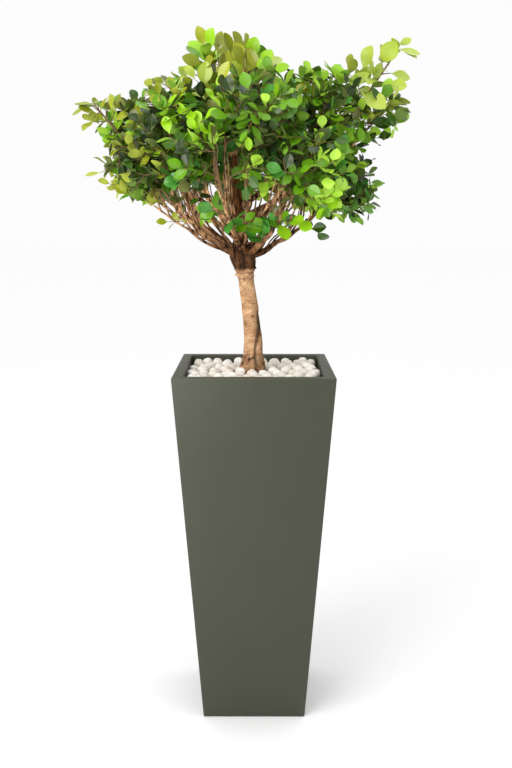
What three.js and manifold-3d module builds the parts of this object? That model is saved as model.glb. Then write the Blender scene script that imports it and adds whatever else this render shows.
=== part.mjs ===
// A ficus tree in a tall tapered planter: one trunk with a root flare, a swollen head from which
// curved boughs fan out, and a crown of separate masses of leaves. The planter is filled with soil,
// which lies under a bed of white pebbles.
// Millimetres, +Z up, seen from the front along +Y. The origin is the middle of the planter's underside.
import * as THREE from "three";
import { mergeVertices } from "three/addons/utils/BufferGeometryUtils.js";
import Module from "manifold-3d";

const wasm = await Module();
wasm.setup();

// Planter
const POT_HEIGHT = 900;
const POT_TOP_SIDE = 390;
const POT_FOOT_SIDE = 261;
const POT_CORNER_RADIUS = 5;
const CORNER_SEGMENTS = 2;
const POT_EDGE_ROUND = 4;
const EDGE_STEP = 0.3;
const POT_WALL = 12;
const POT_FLOOR = 18;
const LIP_WIDTH = 25;
const LIP_DEPTH = 30;
const CUT_MARGIN = 2;

// Clearance between pieces that rest on each other or meet end to end
const SEAT_GAP = 0.3;

// Soil and pebbles
const SOIL_TOP = 860;
const PEBBLE_ROWS = 9;
const PEBBLE_CROWN = 886;
const PEBBLE_FLANK = 880;
const PEBBLE_VALLEY = 871;
const PEBBLE_JITTER = 5;
const PEBBLE_SEED = 41;

// Trunk: an axis with a lean to the left, drawn by its foot, two handles and its tip
const GROUND = SOIL_TOP + SEAT_GAP;
const TRUNK_FOOT = new THREE.Vector3(-9, 0, GROUND);
const TRUNK_LOW_HANDLE = new THREE.Vector3(12, 8, 1030);
const TRUNK_HIGH_HANDLE = new THREE.Vector3(-38, -8, 1130);
const TRUNK_TIP = new THREE.Vector3(-50, 0, 1430);
const TRUNK_SIDES = 14;
const TRUNK_STEPS = 19;
const SHAFT_FOOT_RADIUS = 22;
const SHAFT_NECK_RADIUS = 19;
const SHAFT_TIP_RADIUS = 8;
const FLARE_EXTRA = 9;
const FLARE_HEIGHT = 26;
const FLARE_LOBES = 4;
const FLARE_LOBE_DEPTH = 0.3;
const FLARE_LOBE_TURN = 0.6;
const HEAD_HEIGHT = 1172;
const HEAD_EXTRA = 11;
const HEAD_SPREAD = 30;
const STRAND_EXTRA = 7;
const STRAND_TURN = -0.5;
const STRAND_WIDTH = 0.45;
const STRAND_TOP = 1050;
const STRAND_FADE = 22;

// Boughs: each leaves the trunk low, bends upwards and ends where its mass begins
const BOUGH_SIDES = 5;
const BOUGH_STEPS = 5;
const BOUGH_COLLAR = 1.5;
const BOUGH_COLLAR_SHARE = 0.2;
const KNEE_OUT = 0.6;
const KNEE_UP = 0.38;
const ENTRY_SHARE = 0.8;

// Crown: rings of masses, lowest first, then the three shoots that stand out of it. Heights and radii are
// those of each mass's round space. arch lifts the masses at the front and back, and tilt lifts those on the
// right and lowers those on the left.
const TIERS = [
  {
    name: "skirt", count: 7, firstTurn: 0, middle: -32, ring: 232, arch: 45, tilt: -12,
    height: 1343, radius: 118, fork: 1166, boughFoot: 6.5, boughTip: 3.4, leafLength: 84,
  },
  {
    name: "shoulder", count: 7, firstTurn: Math.PI, middle: -42, ring: 222, arch: 0, tilt: 24,
    height: 1486, radius: 114, fork: 1214, boughFoot: 5.2, boughTip: 3.2, leafLength: 84,
  },
  {
    name: "crest", count: 3, firstTurn: 3.5, middle: -52, ring: 50, arch: 0, tilt: 0,
    height: 1612, radius: 98, fork: 1404, boughFoot: 4.6, boughTip: 3.2, leafLength: 66,
  },
  {
    name: "sprig", count: 1, firstTurn: -0.06, middle: 0, ring: 318, arch: 0, tilt: 0,
    height: 1626, radius: 78, fork: 1292, boughFoot: 5, boughTip: 3, leafLength: 66,
  },
  {
    name: "spur", count: 1, firstTurn: -0.2, middle: 0, ring: 304, arch: 0, tilt: 0,
    height: 1508, radius: 72, fork: 1266, boughFoot: 4.6, boughTip: 3, leafLength: 54,
  },
  {
    name: "shoot", count: 1, firstTurn: Math.PI + 0.22, middle: 0, ring: 364, arch: 0, tilt: 0,
    height: 1508, radius: 68, fork: 1262, boughFoot: 4.6, boughTip: 3, leafLength: 50,
  },
];
const YOUNG_TIERS = ["crest", "sprig", "shoot"];
const FORK_STAGGER = 16;
const CROWN_MIDDLE = new THREE.Vector3(-35, 0, 1400);

// Twigs and leaves inside a mass
const SPACE_GAP = 1.2;
const LIMB_CLEARANCE = 5;
const TRUNK_BEADS = 80;
const BOUGH_BEADS = 40;
const STEM_SIDES = 4;
const STEM_LENGTH = 1.15;
const STEM_TIP_RADIUS = 2.8;
const TWIGS_PER_MASS = 8;
const TWIG_SEED_STEP = 1005;
const TWIG_SIDES = 3;
const TWIG_FOOT_RADIUS = 1.8;
const TWIG_TIP_RADIUS = 1.2;
const TWIG_PROBES = 5;
const SHORTEST_TWIG = 14;
const TIP_LEAF_ROOM = 0.45;
const FIRST_TWIG_AT = 0.16;
const SPREAD_LOW = 1.5;
const SPREAD_HIGH = 0.35;
const TWIG_LIFT = 0.22;
const GOLDEN_ANGLE = Math.PI * (3 - Math.sqrt(5));
const LEAF_CORNERS = 5;
const LEAF_SPACING = 17;
const LEAF_SPLAY = 0.95;
const LEAF_WIDTH_SHARE = 0.66;
const SIDE_LEAF_ROOT = 0.6;
const END_LEAF_ROOT = 4;
const LEAF_CLEARANCE = 1.5;
const LEAF_FULLNESS = 0.8;
const LEAF_NARROW_TIP = 0.6;
const LEAF_THICKNESS_SHARE = 0.026;
const LEAF_DISH = 0.07;
const LEAF_DROOP = 0.08;
const LEAF_FACE_UP = 0.55;
const LEAF_FACE_JITTER = 0.9;

const UP = new THREE.Vector3(0, 0, 1);
const TINY = 1e-6;
const SAME_CORNER = 1e-4;

const materials = {
  pot: new THREE.MeshStandardMaterial({ color: 0x5d5f51, roughness: 0.55, metalness: 0 }),
  soil: new THREE.MeshStandardMaterial({ color: 0x3a2a1e, roughness: 0.95, metalness: 0 }),
  pebbles: new THREE.MeshStandardMaterial({ color: 0xd9d2c8, roughness: 0.75, metalness: 0 }),
  trunk: new THREE.MeshStandardMaterial({ color: 0xb98a62, roughness: 0.85, metalness: 0 }),
  boughs: new THREE.MeshStandardMaterial({ color: 0x6b472f, roughness: 0.85, metalness: 0 }),
  leaves: new THREE.MeshStandardMaterial({ color: 0x4f7a24, roughness: 0.4, metalness: 0 }),
  youngLeaves: new THREE.MeshStandardMaterial({ color: 0x9dbb45, roughness: 0.4, metalness: 0 }),
};

// A stream of repeatable numbers from 0 to 1
function seeded(seed) {
  let state = (seed * 2654435761) >>> 0;
  return () => {
    state = (Math.imul(state, 1664525) + 1013904223) >>> 0;
    return state / 4294967296;
  };
}

function mix(from, to, share) {
  return from + (to - from) * share;
}

// A geometry with nothing but its places, and each corner held once
function bareGeometry(geometry) {
  const bare = geometry.clone();
  bare.deleteAttribute("normal");
  bare.deleteAttribute("uv");
  return mergeVertices(bare, SAME_CORNER);
}

// Closed three.js geometry as a solid that can be joined and cut
function solidOf(geometry) {
  const bare = bareGeometry(geometry);
  return new wasm.Manifold(
    new wasm.Mesh({
      numProp: 3,
      vertProperties: new Float32Array(bare.attributes.position.array),
      triVerts: new Uint32Array(bare.index.array),
    }),
  );
}

// The largest body of a solid, as three.js geometry with flat faces
function geometryOf(solid) {
  const bodies = solid.decompose().sort((a, b) => b.volume() - a.volume());
  const mesh = bodies[0].getMesh();
  const geometry = new THREE.BufferGeometry();
  geometry.setAttribute("position", new THREE.BufferAttribute(mesh.vertProperties, 3));
  geometry.setIndex(new THREE.BufferAttribute(mesh.triVerts, 1));
  geometry.computeVertexNormals();
  return geometry;
}

function namedMesh(name, geometry, material) {
  const mesh = new THREE.Mesh(geometry, material);
  mesh.name = name;
  return mesh;
}

// Moves every vertex of a geometry by a function of its old place
function reshape(geometry, place) {
  const position = geometry.getAttribute("position");
  const vertex = new THREE.Vector3();
  for (let i = 0; i < position.count; i += 1) {
    vertex.fromBufferAttribute(position, i);
    place(vertex);
    position.setXYZ(i, vertex.x, vertex.y, vertex.z);
  }
  return geometry;
}

// A square block with rounded corners whose side changes from station to station, each [height, side]
function taperedBlock(stations) {
  const half = 0.5;
  const round = POT_CORNER_RADIUS / POT_TOP_SIDE;
  const outline = new THREE.Shape();
  for (let corner = 0; corner < 4; corner += 1) {
    const turn = (corner * Math.PI) / 2;
    const middle = new THREE.Vector2(half - round, half - round).rotateAround(new THREE.Vector2(), turn);
    outline.absarc(middle.x, middle.y, round, turn, turn + Math.PI / 2, false);
  }
  const steps = stations.length - 1;
  const settings = { depth: 1, steps, bevelEnabled: false, curveSegments: CORNER_SEGMENTS };
  const block = new THREE.ExtrudeGeometry(outline, settings);
  return reshape(block, (vertex) => {
    const [height, side] = stations[Math.round(vertex.z * steps)];
    vertex.set(vertex.x * side, vertex.y * side, height);
  });
}

function potSideAt(height) {
  return mix(POT_FOOT_SIDE, POT_TOP_SIDE, height / POT_HEIGHT);
}

function cavitySideAt(height) {
  return potSideAt(height) - 2 * POT_WALL;
}

const lipOpening = POT_TOP_SIDE - 2 * LIP_WIDTH;
const lipUnderside = POT_HEIGHT - LIP_DEPTH;

// How far a rounded edge draws each side in, at a distance from the planter's end
function edgeInset(distance) {
  return POT_EDGE_ROUND - Math.sqrt(POT_EDGE_ROUND ** 2 - (POT_EDGE_ROUND - distance) ** 2);
}

function makePot() {
  const distances = [0, EDGE_STEP * POT_EDGE_ROUND, POT_EDGE_ROUND];
  const station = (height, distance) => [height, potSideAt(height) - 2 * edgeInset(distance)];
  const foot = distances.map((distance) => station(distance, distance));
  const rim = distances.map((distance) => station(POT_HEIGHT - distance, distance)).reverse();
  const outer = solidOf(taperedBlock([...foot, ...rim]));
  const cavity = solidOf(
    taperedBlock([
      [POT_FLOOR, cavitySideAt(POT_FLOOR)],
      [lipUnderside, cavitySideAt(lipUnderside)],
    ]),
  );
  const opening = solidOf(
    taperedBlock([
      [lipUnderside - CUT_MARGIN, lipOpening],
      [POT_HEIGHT + CUT_MARGIN, lipOpening],
    ]),
  );
  return namedMesh("pot", geometryOf(outer.subtract(cavity).subtract(opening)), materials.pot);
}

function makeSoil() {
  const foot = POT_FLOOR + SEAT_GAP;
  const soil = taperedBlock([
    [foot, cavitySideAt(foot) - 2 * SEAT_GAP],
    [SOIL_TOP, cavitySideAt(SOIL_TOP) - 2 * SEAT_GAP],
  ]);
  return namedMesh("soil", soil, materials.soil);
}

// Trunk

const trunkAxis = new THREE.CubicBezierCurve3(TRUNK_FOOT, TRUNK_LOW_HANDLE, TRUNK_HIGH_HANDLE, TRUNK_TIP);

// The trunk's radius at a height and a turn about its axis: a tapering shaft, a lobed root flare,
// the swollen head under the boughs, and a strand of root that has grown down one side
function trunkRadius(height, turn) {
  const shaft =
    height < HEAD_HEIGHT
      ? mix(SHAFT_FOOT_RADIUS, SHAFT_NECK_RADIUS, (height - GROUND) / (HEAD_HEIGHT - GROUND))
      : mix(SHAFT_NECK_RADIUS, SHAFT_TIP_RADIUS, (height - HEAD_HEIGHT) / (TRUNK_TIP.z - HEAD_HEIGHT));
  const lobes = 1 + FLARE_LOBE_DEPTH * Math.cos(FLARE_LOBES * turn + FLARE_LOBE_TURN);
  const flare = FLARE_EXTRA * lobes * Math.exp((GROUND - height) / FLARE_HEIGHT);
  const head = HEAD_EXTRA * Math.exp(-(((height - HEAD_HEIGHT) / HEAD_SPREAD) ** 2));
  const aside = Math.atan2(Math.sin(turn - STRAND_TURN), Math.cos(turn - STRAND_TURN));
  const fade = 1 / (1 + Math.exp((height - STRAND_TOP) / STRAND_FADE));
  const strand = STRAND_EXTRA * fade * Math.exp(-((aside / STRAND_WIDTH) ** 2));
  return shaft + flare + head + strand;
}

// The trunk's level rings make its foot a flat cut. extra widens it for cutting clearances.
function trunkGeometry(extra) {
  const rings = new THREE.CylinderGeometry(1, 1, 1, TRUNK_SIDES, TRUNK_STEPS);
  rings.rotateX(Math.PI / 2);
  return reshape(rings, (vertex) => {
    const middle = trunkAxis.getPoint(vertex.z + 0.5);
    const turn = Math.atan2(vertex.y, vertex.x);
    const radius = Math.hypot(vertex.x, vertex.y) * (trunkRadius(middle.z, turn) + extra);
    vertex.set(middle.x + radius * Math.cos(turn), middle.y + radius * Math.sin(turn), middle.z);
  });
}

function trunkPointAt(height) {
  let low = 0;
  let high = 1;
  while (high - low > TINY) {
    const middle = (low + high) / 2;
    if (trunkAxis.getPoint(middle).z < height) low = middle;
    else high = middle;
  }
  return trunkAxis.getPoint(low);
}

// A tapering round limb along a curve, with flat ends square to it
function limbGeometry(curve, radiusAt, sides, steps) {
  const tube = new THREE.CylinderGeometry(1, 1, 1, sides, steps);
  const chord = curve.getPoint(1).sub(curve.getPoint(0));
  const side = new THREE.Vector3(-chord.y, chord.x, 0);
  if (side.lengthSq() < TINY) side.set(1, 0, 0);
  return reshape(tube, (vertex) => {
    const share = vertex.y + 0.5;
    const along = curve.getTangent(share);
    const across = side.clone().addScaledVector(along, -side.dot(along)).normalize();
    const outward = across.clone().cross(along);
    const radius = radiusAt(share);
    const middle = curve.getPoint(share);
    const { x, z } = vertex;
    vertex.copy(middle).addScaledVector(across, x * radius).addScaledVector(outward, z * radius);
  });
}

// Crown layout

function massesOf(tier) {
  return Array.from({ length: tier.count }, (_, index) => {
    const turn = tier.firstTurn + (index * 2 * Math.PI) / tier.count;
    const centre = new THREE.Vector3(
      tier.middle + tier.ring * Math.cos(turn),
      tier.ring * Math.sin(turn),
      tier.height + tier.arch * Math.abs(Math.sin(turn)) + tier.tilt * Math.cos(turn),
    );
    return { tier, centre, radius: tier.radius, label: `${tier.name}_${index + 1}`, index };
  });
}

const masses = TIERS.flatMap(massesOf);

function boughOf(mass) {
  const { tier, centre, radius, index } = mass;
  const start = trunkPointAt(tier.fork + (index % 2) * FORK_STAGGER);
  const rise = centre.clone().sub(start);
  const knee = start.clone().add(new THREE.Vector3(rise.x * KNEE_OUT, rise.y * KNEE_OUT, rise.z * KNEE_UP));
  const heading = centre.clone().sub(knee).normalize();
  const end = centre.clone().addScaledVector(heading, -radius * ENTRY_SHARE);
  const curve = new THREE.QuadraticBezierCurve3(start, knee, end);
  const radiusAt = (share) =>
    mix(tier.boughFoot, tier.boughTip, share) + BOUGH_COLLAR * Math.exp(-share / BOUGH_COLLAR_SHARE);
  return { curve, radiusAt, end, heading: curve.getTangent(1) };
}

for (const mass of masses) mass.bough = boughOf(mass);

// Points along a limb with the limb's radius there, for keeping leaves off it
function beadsOf(pointAt, radiusAt, count) {
  const shares = Array.from({ length: count + 1 }, (_, i) => i / count);
  return shares.map((share) => ({ point: pointAt(share), radius: radiusAt(share) }));
}

const limbBeads = [
  ...beadsOf(
    (share) => trunkAxis.getPoint(share),
    (share) => trunkRadius(trunkAxis.getPoint(share).z, 0),
    TRUNK_BEADS,
  ),
  ...masses.flatMap(({ bough }) =>
    beadsOf((share) => bough.curve.getPoint(share), bough.radiusAt, BOUGH_BEADS),
  ),
];

function clearOfLimbs(point) {
  return limbBeads.every((bead) => point.distanceTo(bead.point) > bead.radius + LIMB_CLEARANCE);
}

// A mass's own space: its sphere, cut by a flat wall against each other mass
function spaceOf(mass) {
  const walls = masses
    .filter((other) => other !== mass)
    .map((other) => {
      const across = other.centre.clone().sub(mass.centre);
      const share = mass.radius / (mass.radius + other.radius);
      const meeting = mass.centre.clone().addScaledVector(across, share);
      return new THREE.Plane().setFromNormalAndCoplanarPoint(across.normalize(), meeting);
    });
  return { sphere: new THREE.Sphere(mass.centre, mass.radius), walls };
}

function holds(space, point) {
  return (
    space.sphere.containsPoint(point) &&
    space.walls.every((wall) => wall.distanceToPoint(point) < -SPACE_GAP)
  );
}

// How far a straight twig can run before it leaves the space
function roomAlong(space, from, heading) {
  const toMiddle = from.clone().sub(space.sphere.center);
  const lean = toMiddle.dot(heading);
  const inside = space.sphere.radius ** 2 - toMiddle.lengthSq();
  let room = -lean + Math.sqrt(Math.max(0, lean * lean + inside));
  for (const wall of space.walls) {
    const closing = wall.normal.dot(heading);
    if (closing > TINY) room = Math.min(room, -wall.distanceToPoint(from) / closing);
  }
  return room;
}

// The twigs of a mass leave its stem in a golden-angle spiral, more upright towards the stem's tip
function twigsOf(mass, stem, space) {
  const heading = mass.bough.heading;
  const sideA = new THREE.Vector3().crossVectors(heading, UP).normalize();
  const sideB = new THREE.Vector3().crossVectors(sideA, heading);
  return Array.from({ length: TWIGS_PER_MASS }, (_, index) => {
    const random = seeded(TWIG_SEED_STEP * (masses.indexOf(mass) + 1) + index);
    const share = (index + 0.5) / TWIGS_PER_MASS;
    const turn = index * GOLDEN_ANGLE + random();
    const spread = mix(SPREAD_LOW, SPREAD_HIGH, share);
    const way = heading
      .clone()
      .multiplyScalar(Math.cos(spread))
      .addScaledVector(sideA, Math.sin(spread) * Math.cos(turn))
      .addScaledVector(sideB, Math.sin(spread) * Math.sin(turn))
      .addScaledVector(UP, TWIG_LIFT)
      .normalize();
    const foot = stem.getPoint(mix(FIRST_TWIG_AT, 1, share));
    const length = roomAlong(space, foot, way) - mass.tier.leafLength * TIP_LEAF_ROOM;
    return { foot, way, length, random };
  }).filter((twig) => twig.length > SHORTEST_TWIG);
}

// One leaf: a thin dished blade with five corners along +X, its foot sunk below the origin by root
function leafGeometry(length, root) {
  const blade = new THREE.SphereGeometry(1, LEAF_CORNERS, 2);
  const halfWidth = (length * LEAF_WIDTH_SHARE) / 2;
  return reshape(blade, (vertex) => {
    const along = ((vertex.x + 1) / 2) ** LEAF_FULLNESS;
    const narrow = vertex.x > 0.5 ? LEAF_NARROW_TIP : 1;
    const onRim = Math.abs(vertex.y) < 0.5;
    const lift = onRim ? 0 : (vertex.y * LEAF_THICKNESS_SHARE) / 2 - LEAF_DISH;
    vertex.set(
      along * length - root,
      (lift - LEAF_DROOP * along * along) * length,
      vertex.z * halfWidth * narrow,
    );
  });
}

// Leaves stand along a twig from its tip downwards, the first straight on and the rest to either side
function leavesOf(twig, length) {
  const count = 1 + Math.floor(twig.length / LEAF_SPACING);
  return Array.from({ length: count }, (_, index) => {
    const foot = twig.foot.clone().addScaledVector(twig.way, twig.length - index * LEAF_SPACING);
    const outward = foot.clone().sub(CROWN_MIDDLE).normalize();
    const jitter = () => (twig.random() - 0.5) * LEAF_FACE_JITTER;
    const facing = outward
      .addScaledVector(UP, LEAF_FACE_UP)
      .add(new THREE.Vector3(jitter(), jitter(), jitter()))
      .normalize();
    const aside = new THREE.Vector3().crossVectors(facing, twig.way).normalize();
    const splay = index === 0 ? 0 : LEAF_SPLAY * (index % 2 ? 1 : -1);
    const way = twig.way
      .clone()
      .multiplyScalar(Math.cos(splay))
      .addScaledVector(aside, Math.sin(splay))
      .normalize();
    const face = facing.addScaledVector(way, -facing.dot(way)).normalize();
    const across = new THREE.Vector3().crossVectors(way, face);
    const place = new THREE.Matrix4().makeBasis(way, face, across).setPosition(foot);
    const root = index === 0 ? END_LEAF_ROOT : SIDE_LEAF_ROOT;
    return leafGeometry(length, root).applyMatrix4(place);
  });
}

// Every corner of a leaf and the points half way between any two of them
function probesOf(geometry) {
  const position = bareGeometry(geometry).getAttribute("position");
  const corners = Array.from({ length: position.count }, (_, i) =>
    new THREE.Vector3().fromBufferAttribute(position, i),
  );
  return corners.flatMap((corner, i) =>
    corners.slice(i).map((other) => corner.clone().lerp(other, 0.5)),
  );
}

// A leaf is kept if it stays in its space, off the limbs and off the leaves that were kept before it
function keepLeaf(space, kept, leaf) {
  const probes = probesOf(leaf);
  const free = probes.every(
    (probe) =>
      holds(space, probe) &&
      clearOfLimbs(probe) &&
      kept.every((other) => probe.distanceTo(other) > LEAF_CLEARANCE),
  );
  if (free) kept.push(...probes);
  return free;
}

function makeMass(mass) {
  const { bough, radius, tier } = mass;
  const space = spaceOf(mass);
  const stemFoot = bough.end.clone().addScaledVector(bough.heading, SEAT_GAP);
  const stemRoom = Math.min(radius * STEM_LENGTH, roomAlong(space, stemFoot, bough.heading) - SHORTEST_TWIG);
  const stem = new THREE.LineCurve3(stemFoot, stemFoot.clone().addScaledVector(bough.heading, stemRoom));
  const stemRadius = (share) => mix(tier.boughTip, STEM_TIP_RADIUS, share);
  const twigRadius = (share) => mix(TWIG_FOOT_RADIUS, TWIG_TIP_RADIUS, share);
  const pieces = [limbGeometry(stem, stemRadius, STEM_SIDES, 1)];
  const kept = [];
  for (const twig of twigsOf(mass, stem, space)) {
    const tip = twig.foot.clone().addScaledVector(twig.way, twig.length);
    const run = new THREE.LineCurve3(twig.foot, tip);
    if (!run.getPoints(TWIG_PROBES).slice(1).every(clearOfLimbs)) continue;
    pieces.push(limbGeometry(run, twigRadius, TWIG_SIDES, 1));
    pieces.push(...leavesOf(twig, tier.leafLength).filter((leaf) => keepLeaf(space, kept, leaf)));
  }
  const material = YOUNG_TIERS.includes(tier.name) ? materials.youngLeaves : materials.leaves;
  return namedMesh(`foliage_${mass.label}`, geometryOf(wasm.Manifold.union(pieces.map(solidOf))), material);
}

function makeBough(mass, trunkClearance) {
  const { curve, radiusAt } = mass.bough;
  const limb = solidOf(limbGeometry(curve, radiusAt, BOUGH_SIDES, BOUGH_STEPS));
  return namedMesh(`bough_${mass.label}`, geometryOf(limb.subtract(trunkClearance)), materials.boughs);
}

// The pebble bed: a layer whose top is a field of rounded stones, three by three corners to a stone,
// cut to the opening of the planter and clear of the trunk
function makePebbles(trunkClearance) {
  const random = seeded(PEBBLE_SEED);
  const jitter = () => (random() - 0.5) * PEBBLE_JITTER;
  const cells = 2 * PEBBLE_ROWS;
  const heights = [PEBBLE_VALLEY, PEBBLE_FLANK, PEBBLE_CROWN];
  const field = new THREE.BoxGeometry(1, 1, 1, cells, cells, 1);
  reshape(field, (vertex) => {
    const column = Math.round((vertex.x + 0.5) * cells);
    const row = Math.round((vertex.y + 0.5) * cells);
    const onEdge = column % cells === 0 || row % cells === 0;
    const onTop = vertex.z > 0;
    const height = onTop ? heights[(column % 2) + (row % 2)] : SOIL_TOP;
    vertex.set(vertex.x * lipOpening, vertex.y * lipOpening, height);
    if (onTop && !onEdge) vertex.add(new THREE.Vector3(jitter(), jitter(), jitter()));
  });
  const bed = taperedBlock([
    [GROUND, lipOpening - 2 * SEAT_GAP],
    [POT_HEIGHT, lipOpening - 2 * SEAT_GAP],
  ]);
  const stones = solidOf(field).intersect(solidOf(bed)).subtract(trunkClearance);
  return namedMesh("pebbles", geometryOf(stones), materials.pebbles);
}

const trunkClearance = solidOf(trunkGeometry(SEAT_GAP));
const tree = new THREE.Group();
tree.add(namedMesh("trunk", trunkGeometry(0), materials.trunk));
for (const mass of masses) tree.add(makeBough(mass, trunkClearance), makeMass(mass));

const planter = new THREE.Group();
planter.add(makePot(), makeSoil(), makePebbles(trunkClearance));

const pottedFicus = new THREE.Group();
pottedFicus.add(planter, tree);

export default pottedFicus;
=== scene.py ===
# %% [markdown]
# A ficus tree in a tall tapered planter. This lesson dresses a set of plain solids, which say where every
# part stands and how far it reaches, with the surfaces that the eye expects: bark, leaves, stones and clay.
# The solids come in first and stay where they are. Every new piece is made in their frame, in metres.

# %% Load the solids
import math

import bmesh
import bpy
import numpy as np
from mathutils import Matrix, Vector, noise


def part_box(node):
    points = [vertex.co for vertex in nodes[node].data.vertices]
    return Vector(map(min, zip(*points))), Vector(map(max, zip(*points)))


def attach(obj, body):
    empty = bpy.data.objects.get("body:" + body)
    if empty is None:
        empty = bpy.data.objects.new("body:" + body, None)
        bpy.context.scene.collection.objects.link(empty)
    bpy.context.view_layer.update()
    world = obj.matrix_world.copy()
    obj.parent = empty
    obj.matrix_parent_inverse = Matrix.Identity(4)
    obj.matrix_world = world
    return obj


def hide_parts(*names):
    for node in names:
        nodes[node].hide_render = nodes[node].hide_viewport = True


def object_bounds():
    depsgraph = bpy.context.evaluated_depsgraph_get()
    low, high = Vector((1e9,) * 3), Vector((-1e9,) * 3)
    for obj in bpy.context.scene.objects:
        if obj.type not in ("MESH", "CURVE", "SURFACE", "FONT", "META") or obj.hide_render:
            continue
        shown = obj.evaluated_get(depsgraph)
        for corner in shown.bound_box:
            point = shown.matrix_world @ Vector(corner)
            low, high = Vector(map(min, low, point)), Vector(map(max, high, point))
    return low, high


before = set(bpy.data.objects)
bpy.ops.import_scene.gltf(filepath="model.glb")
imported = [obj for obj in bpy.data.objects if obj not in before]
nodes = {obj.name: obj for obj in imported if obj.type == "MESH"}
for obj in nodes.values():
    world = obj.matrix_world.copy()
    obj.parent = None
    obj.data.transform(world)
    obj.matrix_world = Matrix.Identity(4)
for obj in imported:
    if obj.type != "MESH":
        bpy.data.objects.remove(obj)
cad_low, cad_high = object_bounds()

bpy.ops.object.select_all(action="DESELECT")
print("solids", len(nodes), "box", [round(v, 3) for v in (*cad_low, *cad_high)])

# %% [markdown]
# The camera stands about 2.3 m in front of the planter, a third of a metre above its rim, and tips down by
# ten degrees. A mild tele lens keeps the planter's sides straight. The place and the lens follow from how
# wide the near and the far edge of the rim and the foot look in a picture of this frame.

# %% Camera
CAMERA_PLACE = (0.005, -2.291, 1.272)
CAMERA_TILT_DOWN = math.radians(10.42)
CAMERA_LENS_MM, CAMERA_SENSOR_MM = 42.7, 36

bpy.ops.object.camera_add(location=CAMERA_PLACE, rotation=(math.pi / 2 - CAMERA_TILT_DOWN, 0, 0))
camera = bpy.context.object
camera.name = "camera"
camera.data.lens = CAMERA_LENS_MM
camera.data.sensor_width = CAMERA_SENSOR_MM
camera.data.sensor_fit = "AUTO"
bpy.context.scene.camera = camera
print("camera at", CAMERA_PLACE)

# %% [markdown]
# A material is a small network of nodes round one shader. A few helpers keep these networks readable: one
# turns a paint colour into the shader's own values, one makes a material with its plain values, one adds a
# node, and one sets a node's values or joins it to another.

# %% Material helpers
def linear(red, green, blue):
    """A colour given as 0 to 255, as the shader's own linear values."""
    shares = [value / 255 for value in (red, green, blue)]
    return tuple(v / 12.92 if v <= 0.04045 else ((v + 0.055) / 1.055) ** 2.4 for v in shares) + (1,)


def feed(tree, node, **values):
    """Sets a node's settings, and its inputs by name or as in_0, in_1. A socket as a value is joined."""
    for key, value in values.items():
        if hasattr(node, key):
            setattr(node, key, value)
            continue
        socket = node.inputs[int(key[3:]) if key.startswith("in_") else key.replace("_", " ")]
        if isinstance(value, bpy.types.NodeSocket):
            tree.links.new(value, socket)
        else:
            socket.default_value = value


def add_node(tree, kind, **values):
    node = tree.nodes.new(kind)
    feed(tree, node, **values)
    return node


def new_finish(name, **values):
    """A material, its tree of nodes, and its shader with its plain values."""
    finish = bpy.data.materials.new(name)
    finish.use_nodes = True
    shader = finish.node_tree.nodes["Principled BSDF"]
    feed(finish.node_tree, shader, **values)
    return finish, finish.node_tree, shader


# %% [markdown]
# Product pictures of plants are taken on a white sweep in soft light. A wide white floor does for the
# sweep, because a white sky meets it without a line. The sky and one very broad light from above give
# short, soft shadows round the foot. Two soft boxes stand left and right of the camera. The left one is
# much stronger, so trunk and planter are shaded from left to right, and a weak, wide shadow falls to the
# right and back. The plain view transform keeps colours as they are set.

# %% Floor and light
FLOOR_SIDE, FLOOR_DROP = 80, 0.0005
FLOOR_WHITE, FLOOR_DULLNESS = 0.85, 0.9
SKY_LIGHT, SKY_SEEN = 0.57, 0.978
LIGHTS = dict(
    top_light=dict(kind="SUN", place=(0.06, 0.02, 1.0), aim=(0, 0, 0), energy=1.86, angle=math.radians(95)),
    left_box=dict(kind="AREA", place=(-1.38, -1.75, 1.45), aim=(0, 0, 1.00), energy=46, size=1.7),
    right_box=dict(kind="AREA", place=(1.60, -1.75, 1.35), aim=(0, 0, 1.15), energy=5, size=1.0),
)


def add_light(name, kind, place, aim, **settings):
    """Adds a light that is turned to its aim, and that the camera doesn't see."""
    turned = (Vector(aim) - Vector(place)).to_track_quat("-Z", "Y").to_euler()
    bpy.ops.object.light_add(type=kind, location=place, rotation=turned)
    light = bpy.context.object
    light.name = name
    light.visible_camera = False
    for key, value in settings.items():
        setattr(light.data, key, value)


bpy.ops.mesh.primitive_plane_add(size=FLOOR_SIDE, location=(0, 0, -FLOOR_DROP))
floor = bpy.context.object
floor.name = "floor"
floor_colour = (FLOOR_WHITE, FLOOR_WHITE, FLOOR_WHITE, 1)
floor.data.materials.append(new_finish("white_floor", Base_Color=floor_colour, Roughness=FLOOR_DULLNESS)[0])
for name, light in LIGHTS.items():
    add_light(name, **light)

world = bpy.data.worlds.new("white_sky")
bpy.context.scene.world = world
world.use_nodes = True
sky_tree = world.node_tree
seen = add_node(sky_tree, "ShaderNodeLightPath").outputs["Is Camera Ray"]
sky_level = add_node(sky_tree, "ShaderNodeMapRange", Value=seen, To_Min=SKY_LIGHT, To_Max=SKY_SEEN)
feed(sky_tree, sky_tree.nodes["Background"], Color=(1, 1, 1, 1), Strength=sky_level.outputs["Result"])
bpy.context.scene.view_settings.view_transform = "Standard"
print("floor and", len(LIGHTS), "lights")

# %% [markdown]
# Two effects turn up on several surfaces, so each is a node group that is built once: a soft cloudy blend
# of two colours, and a relief of fine grain. Each material then sets the group's values for itself.

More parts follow.
